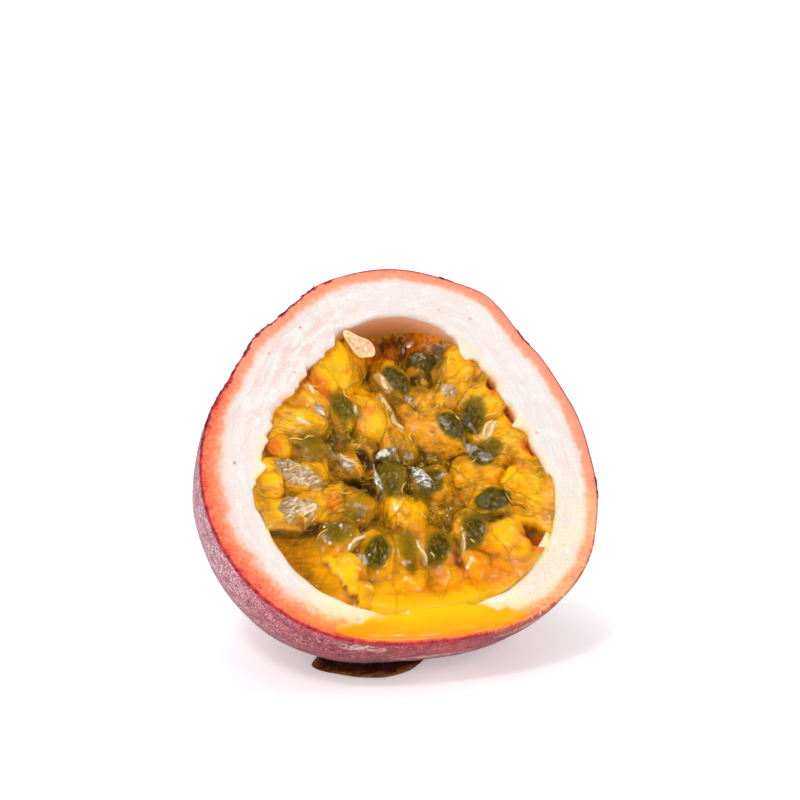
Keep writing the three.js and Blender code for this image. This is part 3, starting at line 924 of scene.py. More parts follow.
def make_seeds(places):
    """Flat, pointed seeds, each with its own copy of one form."""
    put_down()
    bpy.ops.mesh.primitive_uv_sphere_add(segments=24, ring_count=16, radius=1)
    form = bpy.context.object
    points = points_of(form)[:, [0, 2, 1]]
    taper = 1 - 0.22 * step(0.1, 1.0, points[:, 1])
    points[:, 0] *= taper
    points *= np.array(SEED_HALF)
    pits = grain(points, 0.55, 4, 2)
    points *= (1 + 0.02 * pits)[:, None]
    move_points(form, points)
    face_outwards(form)
    copies = []
    for place, (_, _, turn, proud, _) in zip(places, SEEDS):
        size = 0.9 if proud > -0.3 else 0.8
        copies.append(place_copy(form, "seeds", sac_frame(turn, 0.0), size, place))
    return finish_piece(join_up(copies, form), seed_material())


# The flap's middle on the cut, its turn there, and half its width and length.
FLAP_MIDDLE = (-2.8, 19.6)
FLAP_LEAN = radians(-134)
FLAP_HALF = (1.3, 2.9)


def make_flap():
    """The cut tongue of flesh that held sacs, at the upper left of the hollow."""
    put_down()
    bpy.ops.mesh.primitive_grid_add(x_subdivisions=40, y_subdivisions=40, size=2)
    flap = bpy.context.object
    flap.name = "flesh_flap"
    points = extrude_down(flap)
    lower = points[:, 2] < -0.5
    x, y = points[:, 0].copy(), points[:, 1].copy()
    out = np.maximum(np.abs(x), np.abs(y))
    turn = np.arctan2(y, x)
    edge = 1 + 0.07 * np.sin(3 * turn + 1) + 0.05 * np.sin(5 * turn)
    spread_x = out * np.cos(turn) * edge * (FLAP_HALF[0] + 0.5 * np.sin(turn))
    spread_y = out * np.sin(turn) * edge * FLAP_HALF[1]
    lip = 0.16 * np.exp(-((out - 0.86) / 0.12) ** 2) - 0.1 * step(0.9, 1, out)
    face = 0.08 + lip + 0.05 * grain(points * 3, 1.1, 2, 2)
    high = np.where(lower, -0.5 + 0.35 * step(0.6, 1, out), face)
    off_x = spread_x * cos(FLAP_LEAN) - spread_y * sin(FLAP_LEAN)
    off_y = spread_x * sin(FLAP_LEAN) + spread_y * cos(FLAP_LEAN)
    move_points(flap, np.column_stack([
        FLAP_MIDDLE[0] + off_x, FLAP_MIDDLE[1] + off_y, high - 1.05 + 0.16 * off_y]))
    note(flap, "to_edge", 1 - out)
    face_outwards(flap)
    return finish_piece(flap, flap_material())


# The stub's outline from its foot to the middle of its end: radius and height.
STUB_OUTLINE = [
    (1.9, -31.6), (1.75, -32.0), (1.45, -32.25), (1.22, -32.5), (1.12, -32.8), (1.08, -32.96),
    (0.95, -33.0), (0.7, -32.92), (0.45, -32.86), (0.2, -32.88), (0.001, -32.9),
]


def make_stalk_stub():
    """The dry stub of the stalk, in its dip under the half."""
    stub = draw_rings("stalk_stub", 48, STUB_OUTLINE)
    points = points_of(stub)
    _, angle = polar(points)
    ribs = 1 + 0.07 * np.sin(5 * angle + 0.5) + 0.04 * np.sin(11 * angle + 1)
    points[:, :2] *= ribs[:, None]
    points[:, 2] += 0.08 * grain(points * (1, 1, 0.2), 0.5, 3, 2) * (points[:, 2] < -32.4)
    points[:, 2] = np.maximum(points[:, 2], -33.05)
    move_points(stub, points)
    return finish_piece(stub, stalk_material())


# The directions, in degrees, of the slivers' middles.
SLIVER_PLACES = (108, 117, 127, 134, 143, 151, 160, 168, 66, 38, -14)


def make_skin_slivers():
    """Slivers of skin that the knife lifted off the edge of the cut."""
    put_down()
    bpy.ops.mesh.primitive_uv_sphere_add(segments=12, ring_count=40, radius=1)
    form = bpy.context.object
    shape = points_of(form)
    rng = np.random.default_rng(8)
    copies = []
    for middle in SLIVER_PLACES:
        half = rng.uniform(2.2, 4.5)
        angle = np.radians(middle + half * shape[:, 2])
        lift = 0.12 + rng.uniform(0.1, 0.24) * shape[:, 2] ** 2
        edge = skin_edge(angle)
        wide = 0.13 * (1 + 0.4 * np.sin(7 * shape[:, 2] + middle))
        radius = edge + lift - 0.2 + wide * shape[:, 0]
        high = -0.28 + 0.3 * shape[:, 1] + rng.uniform(0.0, 0.25) * shape[:, 2]
        copies.append(bare_copy(form, "skin_slivers", from_polar(radius, angle, high)))
    slivers = join_up(copies, form)
    face_outwards(slivers)
    return finish_piece(slivers, sliver_material())


# ------------------------------------------------------------------------ juice

def make_lip_juice():
    """The film over the low lip. It fills between the lowest sacs and thins out at its ends."""
    put_down()
    bpy.ops.mesh.primitive_grid_add(x_subdivisions=220, y_subdivisions=44, size=1)
    film = bpy.context.object
    film.name = "juice_film"
    points = extrude_down(film)
    share, across = points[:, 0] + 0.5, points[:, 1] + 0.5
    lower = points[:, 2] < -0.5
    angle = np.radians(LIP_FROM + (LIP_TO - LIP_FROM) * share)
    inner = lobed(CAVITY_RADIUS, CAVITY_WAVES, angle)
    outer = skin_edge(angle)
    turn = np.degrees(angle)
    end = outer - 0.42
    start = inner - 2.6
    radius = start + (end - start) * across
    flat = from_polar(radius, angle, 0 * radius)
    wander = 3.4 * grain(flat, 2.6, 12, 3)
    out = np.clip((radius - inner) / (outer - inner), 0, 1)
    # It thins out to a point at the right, and over the pith at the left.
    left_end = -109 - 21 * out ** 0.9
    right_end = -72 + 15 * out
    left = step(left_end - 6, left_end + 12, turn + wander)
    right = 1 - step(right_end - 6, right_end + 4, turn + wander)
    body = left * right
    bead = np.sqrt(np.clip(1 - (1 - np.clip((end - radius) / 1.1, 0, 1)) ** 2, 0, 1))
    into = np.clip(inner - 0.65 + 0.5 * grain(flat, 1.7, 19, 2) - radius, 0, 6)
    ripple = 0.05 * grain(flat * (0.4, 1, 1), 1.8, 9, 2)
    height = (0.5 * body - 0.26) * bead - 0.22 * (1 - bead) - 1.3 * step(0, 1.4, into)
    height -= 1.8 * (1 - body) * step(-0.8, 0.3, inner - radius)
    height += ripple * body
    height = np.where(lower, np.minimum(-0.5, height - 0.3), height)
    move_points(film, np.column_stack([flat[:, 0], flat[:, 1], height]))
    note(film, "from_skin", outer - radius)
    note(film, "body", body)
    face_outwards(film, doubles=0.01)
    return finish_piece(film, juice_material())


# The pool's outline from the middle of its foot over its rim: shares of radius and height.
POOL_OUTLINE = [
    (0.001, 0), (0.5, 0), (0.9, 0), (0.98, 0.03), (1.0, 0.12), (0.99, 0.24), (0.97, 0.36),
    (0.94, 0.47), (0.9, 0.57), (0.85, 0.66), (0.79, 0.74), (0.72, 0.81), (0.64, 0.86), (0.54, 0.91),
    (0.42, 0.95), (0.2, 1.0), (0.001, 1.0),
]
# Under 2 the pool is drawn out to points at its sides.
POOL_LENS = 1.5


def make_puddle():
    """The dark juice on the ground under the low side."""
    stations = [(POOL_RADII[0] * share, POOL_HEIGHT * high) for share, high in POOL_OUTLINE]
    puddle = draw_rings("puddle", 144, stations)
    points = points_of(puddle)
    radius, angle = polar(points)
    out = radius / POOL_RADII[0]
    wavy = 1 - 0.03 * (1 + np.sin(3 * angle + 0.6)) * out - 0.012 * (1 + np.sin(7 * angle)) * out
    note(puddle, "to_edge", 1 - out)
    drawn = np.abs(np.cos(angle)) ** POOL_LENS + np.abs(np.sin(angle)) ** POOL_LENS
    drawn = drawn ** (-1 / POOL_LENS)
    points[:, :2] *= (wavy * (1 + (drawn - 1) * out))[:, None]
    points[:, 0] *= 1.1
    points[:, 1] *= 1.06 * POOL_RADII[1] / POOL_RADII[0]
    ripple = grain(points * (0.5, 1, 0), 2.0, 7, 2)
    points[:, 2] *= 1 + 0.2 * np.minimum(0, ripple - 0.2) * step(0.3, 0.8, points[:, 2])
    points[:, 2] *= 1 - 0.6 * (points[:, 0] / POOL_RADII[0]) ** 2
    ridge = np.exp(-((points[:, 0] - 5.2) / 1.6) ** 2 - ((points[:, 1] + 5.8) / 0.9) ** 2)
    points[:, 2] += 0.3 * ridge * step(0.1, 0.3, points[:, 2])
    points[:, :2] += POOL_MIDDLE
    move_points(puddle, points / 1000)
    puddle.data.materials.append(puddle_material())
    smooth(puddle)
    return puddle


# -------------------------------------------------------------------- materials

class Maker:
    """Adds nodes to one tree and joins them up."""

    def __init__(self, tree):
        self.tree = tree

    def add(self, kind, **sockets):
        made = self.tree.nodes.new(kind)
        for name, value in sockets.items():
            if name in made.inputs:
                self.feed(made.inputs[name], value)
            else:
                setattr(made, name, value)
        return made

    def feed(self, socket, value):
        if isinstance(value, bpy.types.NodeSocket):
            self.tree.links.new(value, socket)
        else:
            socket.default_value = value

    def value(self, name):
        return self.add("ShaderNodeAttribute", attribute_name=name).outputs["Fac"]

    def vector(self, name):
        return self.add("ShaderNodeAttribute", attribute_name=name).outputs["Vector"]

    def place(self, scale=1000.0, stretch=(1, 1, 1)):
        """Object coordinates in millimetres, times a stretch."""
        source = self.add("ShaderNodeTexCoord").outputs["Object"]
        size = tuple(scale * part for part in stretch)
        return self.add("ShaderNodeMapping", Vector=source, Scale=size).outputs["Vector"]

    def noise(self, place, scale, detail=3.0, rough=0.5, twist=0.0):
        made = self.add("ShaderNodeTexNoise", Vector=place, Scale=scale, Detail=detail,
                        Roughness=rough, Distortion=twist)
        return made.outputs["Fac"]

    def math(self, operation, first, second=0.0, clamp=False):
        made = self.add("ShaderNodeMath", operation=operation, use_clamp=clamp)
        self.feed(made.inputs[0], first)
        self.feed(made.inputs[1], second)
        return made.outputs[0]

    def times(self, first, second):
        return self.math("MULTIPLY", first, second)

    def plus(self, first, second):
        return self.math("ADD", first, second)

    def sway(self, value, reach):
        """A value round 0.5, turned to one round 0 and made `reach` times as strong."""
        return self.times(self.math("SUBTRACT", value, 0.5), reach)

    def band(self, value, low, high, start=0.0, end=1.0):
        made = self.add("ShaderNodeMapRange", interpolation_type="SMOOTHSTEP")
        self.feed(made.inputs["Value"], value)
        for name, number in (("From Min", low), ("From Max", high), ("To Min", start), ("To Max", end)):
            self.feed(made.inputs[name], number)
        return made.outputs["Result"]

    def mix(self, share, first, second, blend="MIX"):
        made = self.add("ShaderNodeMix", data_type="RGBA", blend_type=blend)
        self.feed(made.inputs[0], share)
        self.feed(made.inputs[6], first)
        self.feed(made.inputs[7], second)
        return made.outputs[2]

    def ramp(self, value, stops):
        made = self.add("ShaderNodeValToRGB")
        self.feed(made.inputs["Fac"], value)
        knots = made.color_ramp.elements
        while len(knots) < len(stops):
            knots.new(0.5)
        for knot, (place, colour) in zip(knots, stops):
            knot.position = place
            knot.color = (*colour, 1)
        return made.outputs["Color"]

    def bump(self, height, strength, distance):
        made = self.add("ShaderNodeBump", Strength=strength, Distance=distance, Height=height)
        return made.outputs["Normal"]

    def fine_grain(self, place, scale, detail, rough, twist, strength, distance):
        """Fine grain from the group that the small and wet pieces share, and its bump."""
        made = self.add("ShaderNodeGroup", node_tree=fine_grain_group, Place=place, Scale=scale,
                        Detail=detail, Roughness=rough, Twist=twist, Strength=strength,
                        Distance=distance)
        return made.outputs["Grain"], made.outputs["Normal"]

    def wear(self, **sockets):
        """Feeds the shader's sockets, and gives back its material."""
        for socket, value in sockets.items():
            self.feed(self.shader.inputs[socket.replace("_", " ")], value)
        return self.material


def make_fine_grain():
    """The shared group: noise at a place, and the bump that it makes."""
    group = bpy.data.node_groups.new("fine_grain", "ShaderNodeTree")
    group.interface.new_socket("Place", in_out="INPUT", socket_type="NodeSocketVector")
    for name in ("Scale", "Detail", "Roughness", "Twist", "Strength", "Distance"):
        group.interface.new_socket(name, in_out="INPUT", socket_type="NodeSocketFloat")
    group.interface.new_socket("Grain", in_out="OUTPUT", socket_type="NodeSocketFloat")
    group.interface.new_socket("Normal", in_out="OUTPUT", socket_type="NodeSocketVector")
    make = Maker(group)
    given = make.add("NodeGroupInput").outputs
    speckle = make.noise(given["Place"], given["Scale"], given["Detail"], given["Roughness"],
                         given["Twist"])
    made = make.add("NodeGroupOutput")
    make.feed(made.inputs["Grain"], speckle)
    make.feed(made.inputs["Normal"], make.bump(speckle, given["Strength"], given["Distance"]))
    return group


fine_grain_group = make_fine_grain()


def new_material(name, colour, **settings):
    """A maker for a new material's nodes, with its shader in place."""
    material = bpy.data.materials.new(name)
    material.use_nodes = True
    material.diffuse_color = (*colour, 1)
    material.node_tree.nodes.clear()
    make = Maker(material.node_tree)
    make.material = material
    make.shader = make.add("ShaderNodeBsdfPrincipled")
    make.wear(**settings)
    result = make.add("ShaderNodeOutputMaterial")
    make.feed(result.inputs["Surface"], make.shader.outputs[0])
    return make


def skin_material():
    make = new_material(
        "plum_skin", (0.45, 0.1, 0.1), Roughness=0.45, Specular_IOR_Level=0.3,
        Sheen_Weight=0.22, Sheen_Roughness=0.35, Sheen_Tint=(1.0, 0.8, 0.84, 1))
    place = make.place()
    # The pale side is paler mauve, with more and paler flecks: partly bloom, partly painted light.
    pale = make.value("bloom_and_lit_side")
    patches = make.noise(place, 0.13, 4, 0.6)
    base = make.ramp(patches, [(0.3, (0.16, 0.006, 0.014)), (0.5, (0.31, 0.016, 0.032)),
                               (0.7, (0.5, 0.05, 0.04))])
    base = make.mix(make.times(pale, 0.75), base, (0.5, 0.16, 0.23, 1))
    warped = make.add("ShaderNodeVectorMath", operation="ADD")
    bend = make.add("ShaderNodeTexNoise", Vector=place, Scale=1.1)
    make.feed(warped.inputs[0], place)
    make.feed(warped.inputs[1], bend.outputs["Color"])
    dots = make.add("ShaderNodeTexVoronoi", Vector=warped.outputs[0], Scale=2.7, Randomness=1.0)
    patchy = make.noise(place, 0.5, 4, 0.6)
    reach = make.plus(make.band(pale, 0.1, 1.0, 0.4, 0.52), make.band(patchy, 0.35, 0.65, -0.12, 0.12))
    fleck = make.math("SUBTRACT", reach, dots.outputs["Distance"])
    fleck = make.band(fleck, 0.0, 0.16)
    fine = make.noise(place, 5.0, 2, 0.6)
    speckle = make.times(fleck, make.band(fine, 0.36, 0.58, 0.6, 1.0))
    mottle = make.noise(place, 1.1, 4, 0.65)
    base = make.mix(make.band(mottle, 0.52, 0.66, 0.0, 0.5), base, (0.62, 0.14, 0.13, 1))
    base = make.mix(make.band(mottle, 0.36, 0.47, 0.7, 0.0), base, (0.05, 0.003, 0.01, 1))
    fleck_colour = make.mix(pale, (0.8, 0.25, 0.25, 1), (0.94, 0.68, 0.75, 1))
    colour = make.mix(speckle, base, fleck_colour)
    worn = make.times(make.value("scuff"), make.band(mottle, 0.4, 0.54))
    colour = make.mix(make.times(worn, 0.8), colour, (0.74, 0.56, 0.44, 1))
    edge = make.band(make.value("below_cut"), 0.1, 0.95, 0.9, 0.0)
    edge_red = make.ramp(fine, [(0.35, (0.26, 0.008, 0.02)), (0.6, (0.62, 0.03, 0.035))])
    colour = make.mix(edge, colour, edge_red)
    height = make.plus(make.noise(place, 0.9, 3), make.times(speckle, 0.5))
    return make.wear(Base_Color=colour, Roughness=make.band(fine, 0.3, 0.7, 0.34, 0.55),
                     Normal=make.bump(height, 0.6, 0.0003))


def flesh_material():
    make = new_material(
        "flesh_and_pith", (0.9, 0.75, 0.7), Roughness=0.45, Subsurface_Weight=0.4,
        Subsurface_Radius=(1.0, 0.4, 0.25), Subsurface_Scale=0.0009, Specular_IOR_Level=0.3)
    around = make.vector("around")
    deep = make.value("from_skin")
    blush = make.value("blush")
    broad = make.noise(around, 0.16, 3, 0.5)
    soft = make.noise(around, 0.5, 4, 0.6)
    fine = make.noise(around, 2.0, 4, 0.65)
    shift = make.plus(make.sway(broad, 2.4), make.sway(soft, 2.4))
    shift = make.plus(shift, make.sway(fine, 1.5))
    spread = make.band(blush, 0.0, 1.0, 1.7, 1.0)
    at = make.plus(make.times(deep, spread), shift)
    layers = make.ramp(make.math("DIVIDE", at, 8.0), [
        (0.0, (0.66, 0.055, 0.03)), (0.1, (0.84, 0.14, 0.055)), (0.24, (0.88, 0.23, 0.09)),
        (0.35, (0.86, 0.38, 0.23)), (0.44, (0.83, 0.63, 0.55)), (0.56, (0.79, 0.75, 0.72)),
        (1.0, (0.78, 0.757, 0.73))])
    faded = make.times(make.band(blush, 0.1, 0.6, 0.5, 0.0), make.band(at, 1.5, 3.5, 1.0, 0.0))
    layers = make.mix(faded, layers, (0.84, 0.4, 0.27, 1))
    veins = make.noise(make.vector("veins"), 0.6, 3, 0.6, 0.4)
    pink = make.times(make.band(veins, 0.48, 0.66), make.band(at, 3.5, 5.0))
    pale = make.band(make.noise(around, 0.3, 5, 0.7), 0.42, 0.7)
    pale = make.times(pale, make.band(blush, 0.0, 1.0, 0.25, 0.85))
    pink = make.math("MAXIMUM", pink, pale)
    pink = make.times(pink, make.band(at, 3.0, 4.5, 0.0, 0.28))
    colour = make.mix(pink, layers, (0.9, 0.55, 0.54, 1))
    colour = make.mix(make.band(fine, 0.4, 0.7, 0.0, 0.2), colour, (0.82, 0.52, 0.46, 1))
    drawn = make.add("ShaderNodeMapping", Vector=around, Scale=(0.4, 0.4, 1.3)).outputs["Vector"]
    patchy = make.noise(drawn, 0.7, 5, 0.62, 0.5)
    in_pith = make.band(at, 3.2, 4.6)
    tanned = make.times(in_pith, make.band(patchy, 0.46, 0.62, 0.0, 0.9))
    tanned = make.times(tanned, make.band(make.value("tan_side"), 0.0, 1.0, 0.2, 0.75))
    colour = make.mix(tanned, colour, (0.8, 0.56, 0.5, 1))
    bleached = make.times(in_pith, make.band(patchy, 0.34, 0.52, 0.5, 0.0))
    colour = make.mix(bleached, colour, (0.86, 0.83, 0.8, 1))
    speck = make.times(in_pith, make.band(make.noise(around, 3.4, 2, 0.6), 0.58, 0.68, 0.0, 0.5))
    colour = make.mix(speck, colour, (0.8, 0.52, 0.4, 1))
    brim = make.band(make.value("to_cavity"), 0.2, 1.5, 1.0, 0.0)
    brim = make.times(brim, make.band(soft, 0.4, 0.62))
    brim = make.times(brim, make.band(make.value("hollow_side"), 0.0, 0.6, 0.7, 0.0))
    colour = make.mix(brim, colour, (0.97, 0.78, 0.36, 1))
    dots = make.add("ShaderNodeTexVoronoi", Vector=around, Scale=0.34).outputs["Distance"]
    dot = make.times(make.band(dots, 0.07, 0.14, 1.0, 0.0), make.band(broad, 0.5, 0.56))
    colour = make.mix(make.times(dot, 0.7), colour, (0.6, 0.2, 0.1, 1))
    ragged = make.times(make.band(soft, 0.35, 0.65, -0.3, 0.2), make.value("tan_side"))
    rim = make.band(make.plus(deep, ragged), 0.2, 0.42, 1.0, 0.0)
    rim_red = make.ramp(fine, [(0.35, (0.22, 0.008, 0.018)), (0.6, (0.6, 0.03, 0.035))])
    colour = make.mix(rim, colour, rim_red)
    stain = make.times(make.value("juice_stain"), make.band(soft, 0.3, 0.62))
    colour = make.mix(make.times(stain, 0.22), colour, (0.95, 0.82, 0.36, 1))
    juice = make.ramp(make.math("DIVIDE", at, 8.0), [
        (0.0, (0.86, 0.12, 0.03)), (0.15, (0.95, 0.24, 0.05)), (0.36, (0.97, 0.42, 0.12)),
        (0.5, (0.95, 0.74, 0.42)), (0.8, (0.93, 0.84, 0.64))])
    seep = make.plus(make.value("thin_juice"), make.band(patchy, 0.3, 0.7, -0.3, 0.3))
    seep = make.times(make.band(seep, 0.3, 0.9, 0.0, 0.85), make.band(deep, 0.4, 0.8))
    colour = make.mix(seep, colour, juice)
    tiny = make.noise(around, 3.2, 2, 0.6)
    flecks = make.times(make.value("juice_stain"), make.band(tiny, 0.56, 0.64))
    colour = make.mix(make.times(flecks, 0.75), colour, (0.85, 0.62, 0.12, 1))
    # Down the cavity's wall the colour darkens to brown: partly juice stain, partly painted shade in
    # the hollow.
    down = make.value("down_wall")
    tan_wall_and_shade = make.ramp(make.math("DIVIDE", down, 10.0), [
        (0.0, (0.95, 0.86, 0.76)), (0.06, (0.95, 0.78, 0.62)), (0.14, (0.9, 0.5, 0.34)),
        (0.4, (0.85, 0.38, 0.14)), (1.0, (0.6, 0.2, 0.03))])
    side_wall_and_shade = make.ramp(make.math("DIVIDE", down, 5.0), [
        (0.0, (0.95, 0.86, 0.72)), (0.2, (0.95, 0.7, 0.3)), (0.4, (0.8, 0.3, 0.13)),
        (0.8, (0.55, 0.16, 0.07))])
    wall = make.mix(make.value("hollow_side"), side_wall_and_shade, tan_wall_and_shade)
    colour = make.mix(make.band(down, 0.5, 1.4), colour, wall)
    height = make.plus(make.times(fine, 0.6), soft)
    return make.wear(Base_Color=colour, Normal=make.bump(height, 0.35, 0.0003))


def wet_wrinkles(make, place, folded):
    """The creases of wet skins, drawn out along each sac."""
    fold = make.noise(folded, 0.8, 3, 0.5, 0.6)
    fine = make.noise(place, 1.6, 2, 0.5, 0.5)
    height = make.plus(fold, make.times(fine, 0.3))
    calm = make.band(make.value("in_juice"), 0.2, 1.0, 1.0, 0.4)
    return make.bump(make.times(height, calm), 0.85, 0.0004)


def pulp_material():
    make = new_material(
        "juice_sacs", (0.8, 0.4, 0.02), Roughness=0.5, IOR=1.36, Subsurface_Weight=0.4,
        Subsurface_Radius=(1.0, 0.5, 0.05), Subsurface_Scale=0.0006, Specular_IOR_Level=0.05,
        Coat_Weight=1.0, Coat_Roughness=0.03, Coat_IOR=1.46)
    place = make.place()
    folded = make.vector("sac_place")
    clouds = make.noise(place, 0.28, 3, 0.5, 0.5)
    streaks = make.noise(folded, 0.8, 4, 0.6, 0.6)
    fine = make.noise(place, 2.2, 4, 0.6, 0.6)
    # The gel's colour darkens with its noted depth, which carries painted shade.
    at = make.plus(make.value("gel_depth_and_shade"), make.sway(clouds, 3.4))
    lively = make.band(make.value("in_juice"), 0.2, 1.0, 4.4, 1.2)
    at = make.plus(at, make.sway(streaks, lively))
    level = make.noise(make.place(stretch=(0.25, 1, 1)), 0.8, 4, 0.6, 0.6)
    spread = make.band(make.value("in_juice"), 0.2, 1.0, 0.0, 3.0)
    at = make.plus(at, make.sway(level, spread))
    at = make.plus(at, make.sway(fine, 1.3))
    gel = make.ramp(make.math("DIVIDE", make.plus(at, 2.0), 6.0), [
        (0.0, (0.98, 0.55, 0.003)), (0.2, (0.9, 0.4, 0.001)), (0.36, (0.72, 0.285, 0.0008)),
        (0.5, (0.46, 0.19, 0.0008)), (0.64, (0.25, 0.11, 0.001)), (0.8, (0.11, 0.046, 0.0012)),
        (1.0, (0.045, 0.016, 0.0012))])
    # Thin dark lines of painted shade in the folds between the sacs' skins, and thin bright
    # painted highlights where they catch light.
    for size, width, shade, strength in ((0.5, 0.06, (0.22, 0.085, 0.001, 1), 0.32),
                                         (0.75, 0.05, (1.0, 0.7, 0.05, 1), 0.5)):
        line = make.math("SUBTRACT", make.noise(folded, size, 2, 0.5, 0.8), 0.5)
        line = make.band(make.math("ABSOLUTE", line), 0.0, width, strength, 0.0)
        line = make.times(line, make.band(clouds, 0.4, 0.6))
        line = make.times(line, make.band(make.value("in_juice"), 0.0, 1.0, 1.0, 0.2))
        gel = make.mix(line, gel, shade)
    gel = make.mix(make.value("warmth"), gel, (0.95, 0.5, 0.6, 1), "MULTIPLY")
    seed = make.value("seed_shade")
    gel = make.mix(make.band(seed, 0.0, 0.5, 0.0, 0.8), gel, (0.22, 0.14, 0.0015, 1))
    dark = make.ramp(fine, [(0.3, (0.035, 0.02, 0.001)), (0.5, (0.09, 0.056, 0.0015)),
                            (0.68, (0.24, 0.17, 0.015))])
    colour = make.mix(make.band(seed, 0.3, 0.9), gel, dark)
    # Over the silvery skins: crumpled grey to near white, partly the skins' own colour and partly
    # painted reflection; the strongest rows are painted brighter still.
    crumple = make.noise(folded, 1.25, 4, 0.6, 1.6)
    silver_and_glare = make.ramp(crumple, [(0.34, (0.05, 0.035, 0.018)), (0.44, (0.24, 0.18, 0.11)),
                                 (0.55, (0.44, 0.37, 0.26)), (0.68, (0.88, 0.83, 0.7))])
    silver_and_glare = make.mix(make.band(make.value("silver_skin_and_glare"), 0.96, 1.12, 0.0, 0.55), silver_and_glare,
                      make.ramp(crumple, [(0.42, (0.02, 0.015, 0.008)), (0.54, (0.95, 0.92, 0.84))]))
    colour = make.mix(make.math("MULTIPLY", make.value("silver_skin_and_glare"), 0.8, clamp=True), colour, silver_and_glare)
    colour = make.mix(make.times(make.value("cream_edge"), 0.5), colour, (0.9, 0.6, 0.2, 1))
    lapped = make.plus(make.value("brim"), make.band(streaks, 0.3, 0.7, -0.2, 0.2))
    colour = make.mix(make.band(lapped, 0.35, 0.9), colour, (0.97, 0.5, 0.002, 1))
    wrinkles = wet_wrinkles(make, place, folded)
    return make.wear(Base_Color=colour, Normal=wrinkles, Coat_Normal=wrinkles)


def flap_material():
    make = new_material(
        "flap_flesh", (0.9, 0.6, 0.4), Roughness=0.4, Subsurface_Weight=0.3,
        Subsurface_Radius=(1.0, 0.4, 0.2), Subsurface_Scale=0.0006,
        Coat_Weight=0.6, Coat_Roughness=0.12, Coat_IOR=1.45)
    place = make.place()
    fine, normal = make.fine_grain(place, 2.4, 3, 0.6, 0.0, 0.4, 0.0004)
    middle = make.ramp(fine, [(0.35, (0.8, 0.3, 0.12)), (0.5, (0.9, 0.5, 0.28)),
                              (0.62, (0.95, 0.7, 0.5))])
    uneven = make.band(make.noise(place, 0.9, 3, 0.6), 0.35, 0.65, -0.1, 0.1)
    rim = make.band(make.plus(make.value("to_edge"), uneven), 0.05, 0.2, 1.0, 0.0)
    colour = make.mix(rim, middle, (0.95, 0.74, 0.34, 1))
    return make.wear(Base_Color=colour, Normal=normal)


def thread_material():
    make = new_material(
        "cream_threads", (0.9, 0.7, 0.4), Roughness=0.35, IOR=1.4, Subsurface_Weight=0.3,
        Subsurface_Radius=(1.0, 0.6, 0.3), Subsurface_Scale=0.0004,
        Coat_Weight=1.0, Coat_Roughness=0.08, Coat_IOR=1.5)
    fine, normal = make.fine_grain(make.place(), 2.5, 3, 0.6, 0.0, 0.4, 0.0003)
    colour = make.ramp(fine, [(0.3, (0.75, 0.42, 0.12)), (0.6, (0.95, 0.76, 0.46))])
    # The fine threads are golden: partly their own colour, partly painted glints on the folds.
    colour = make.mix(make.value("golden"), colour, (0.92, 0.56, 0.08, 1))
    return make.wear(Base_Color=colour, Normal=normal)


def seed_material():
    make = new_material(
        "seed_coat", (0.05, 0.04, 0.004), Roughness=0.35, IOR=1.4, Specular_IOR_Level=0.25,
        Coat_Weight=1.0, Coat_Roughness=0.06, Coat_IOR=1.5)
    place = make.place()
    fine = make.noise(place, 1.5, 4, 0.6, 0.8)
    colour = make.ramp(fine, [(0.3, (0.03, 0.018, 0.001)), (0.5, (0.08, 0.05, 0.0015)),
                              (0.68, (0.22, 0.16, 0.014))])
    crisp = make.bump(fine, 0.5, 0.0006)
    return make.wear(Base_Color=colour, Normal=crisp, Coat_Normal=crisp)


def stalk_material():
    make = new_material("dry_stalk", (0.25, 0.15, 0.08), Roughness=0.75)
    along = make.place(stretch=(1, 0.35, 0.35))
    grained, normal = make.fine_grain(along, 3.0, 4, 0.65, 0.0, 0.6, 0.0003)
    colour = make.ramp(grained, [(0.3, (0.05, 0.03, 0.015)), (0.5, (0.2, 0.12, 0.06)),
                                 (0.7, (0.42, 0.3, 0.18))])
    return make.wear(Base_Color=colour, Normal=normal)


def sliver_material():
    make = new_material("skin_sliver", (0.15, 0.02, 0.04), Roughness=0.4)
    patches, normal = make.fine_grain(make.place(), 2.2, 4, 0.6, 0.0, 0.5, 0.0002)
    colour = make.ramp(patches, [(0.35, (0.05, 0.006, 0.012)), (0.52, (0.16, 0.02, 0.03)),
                                 (0.66, (0.62, 0.4, 0.36))])
    return make.wear(Base_Color=colour, Normal=normal)


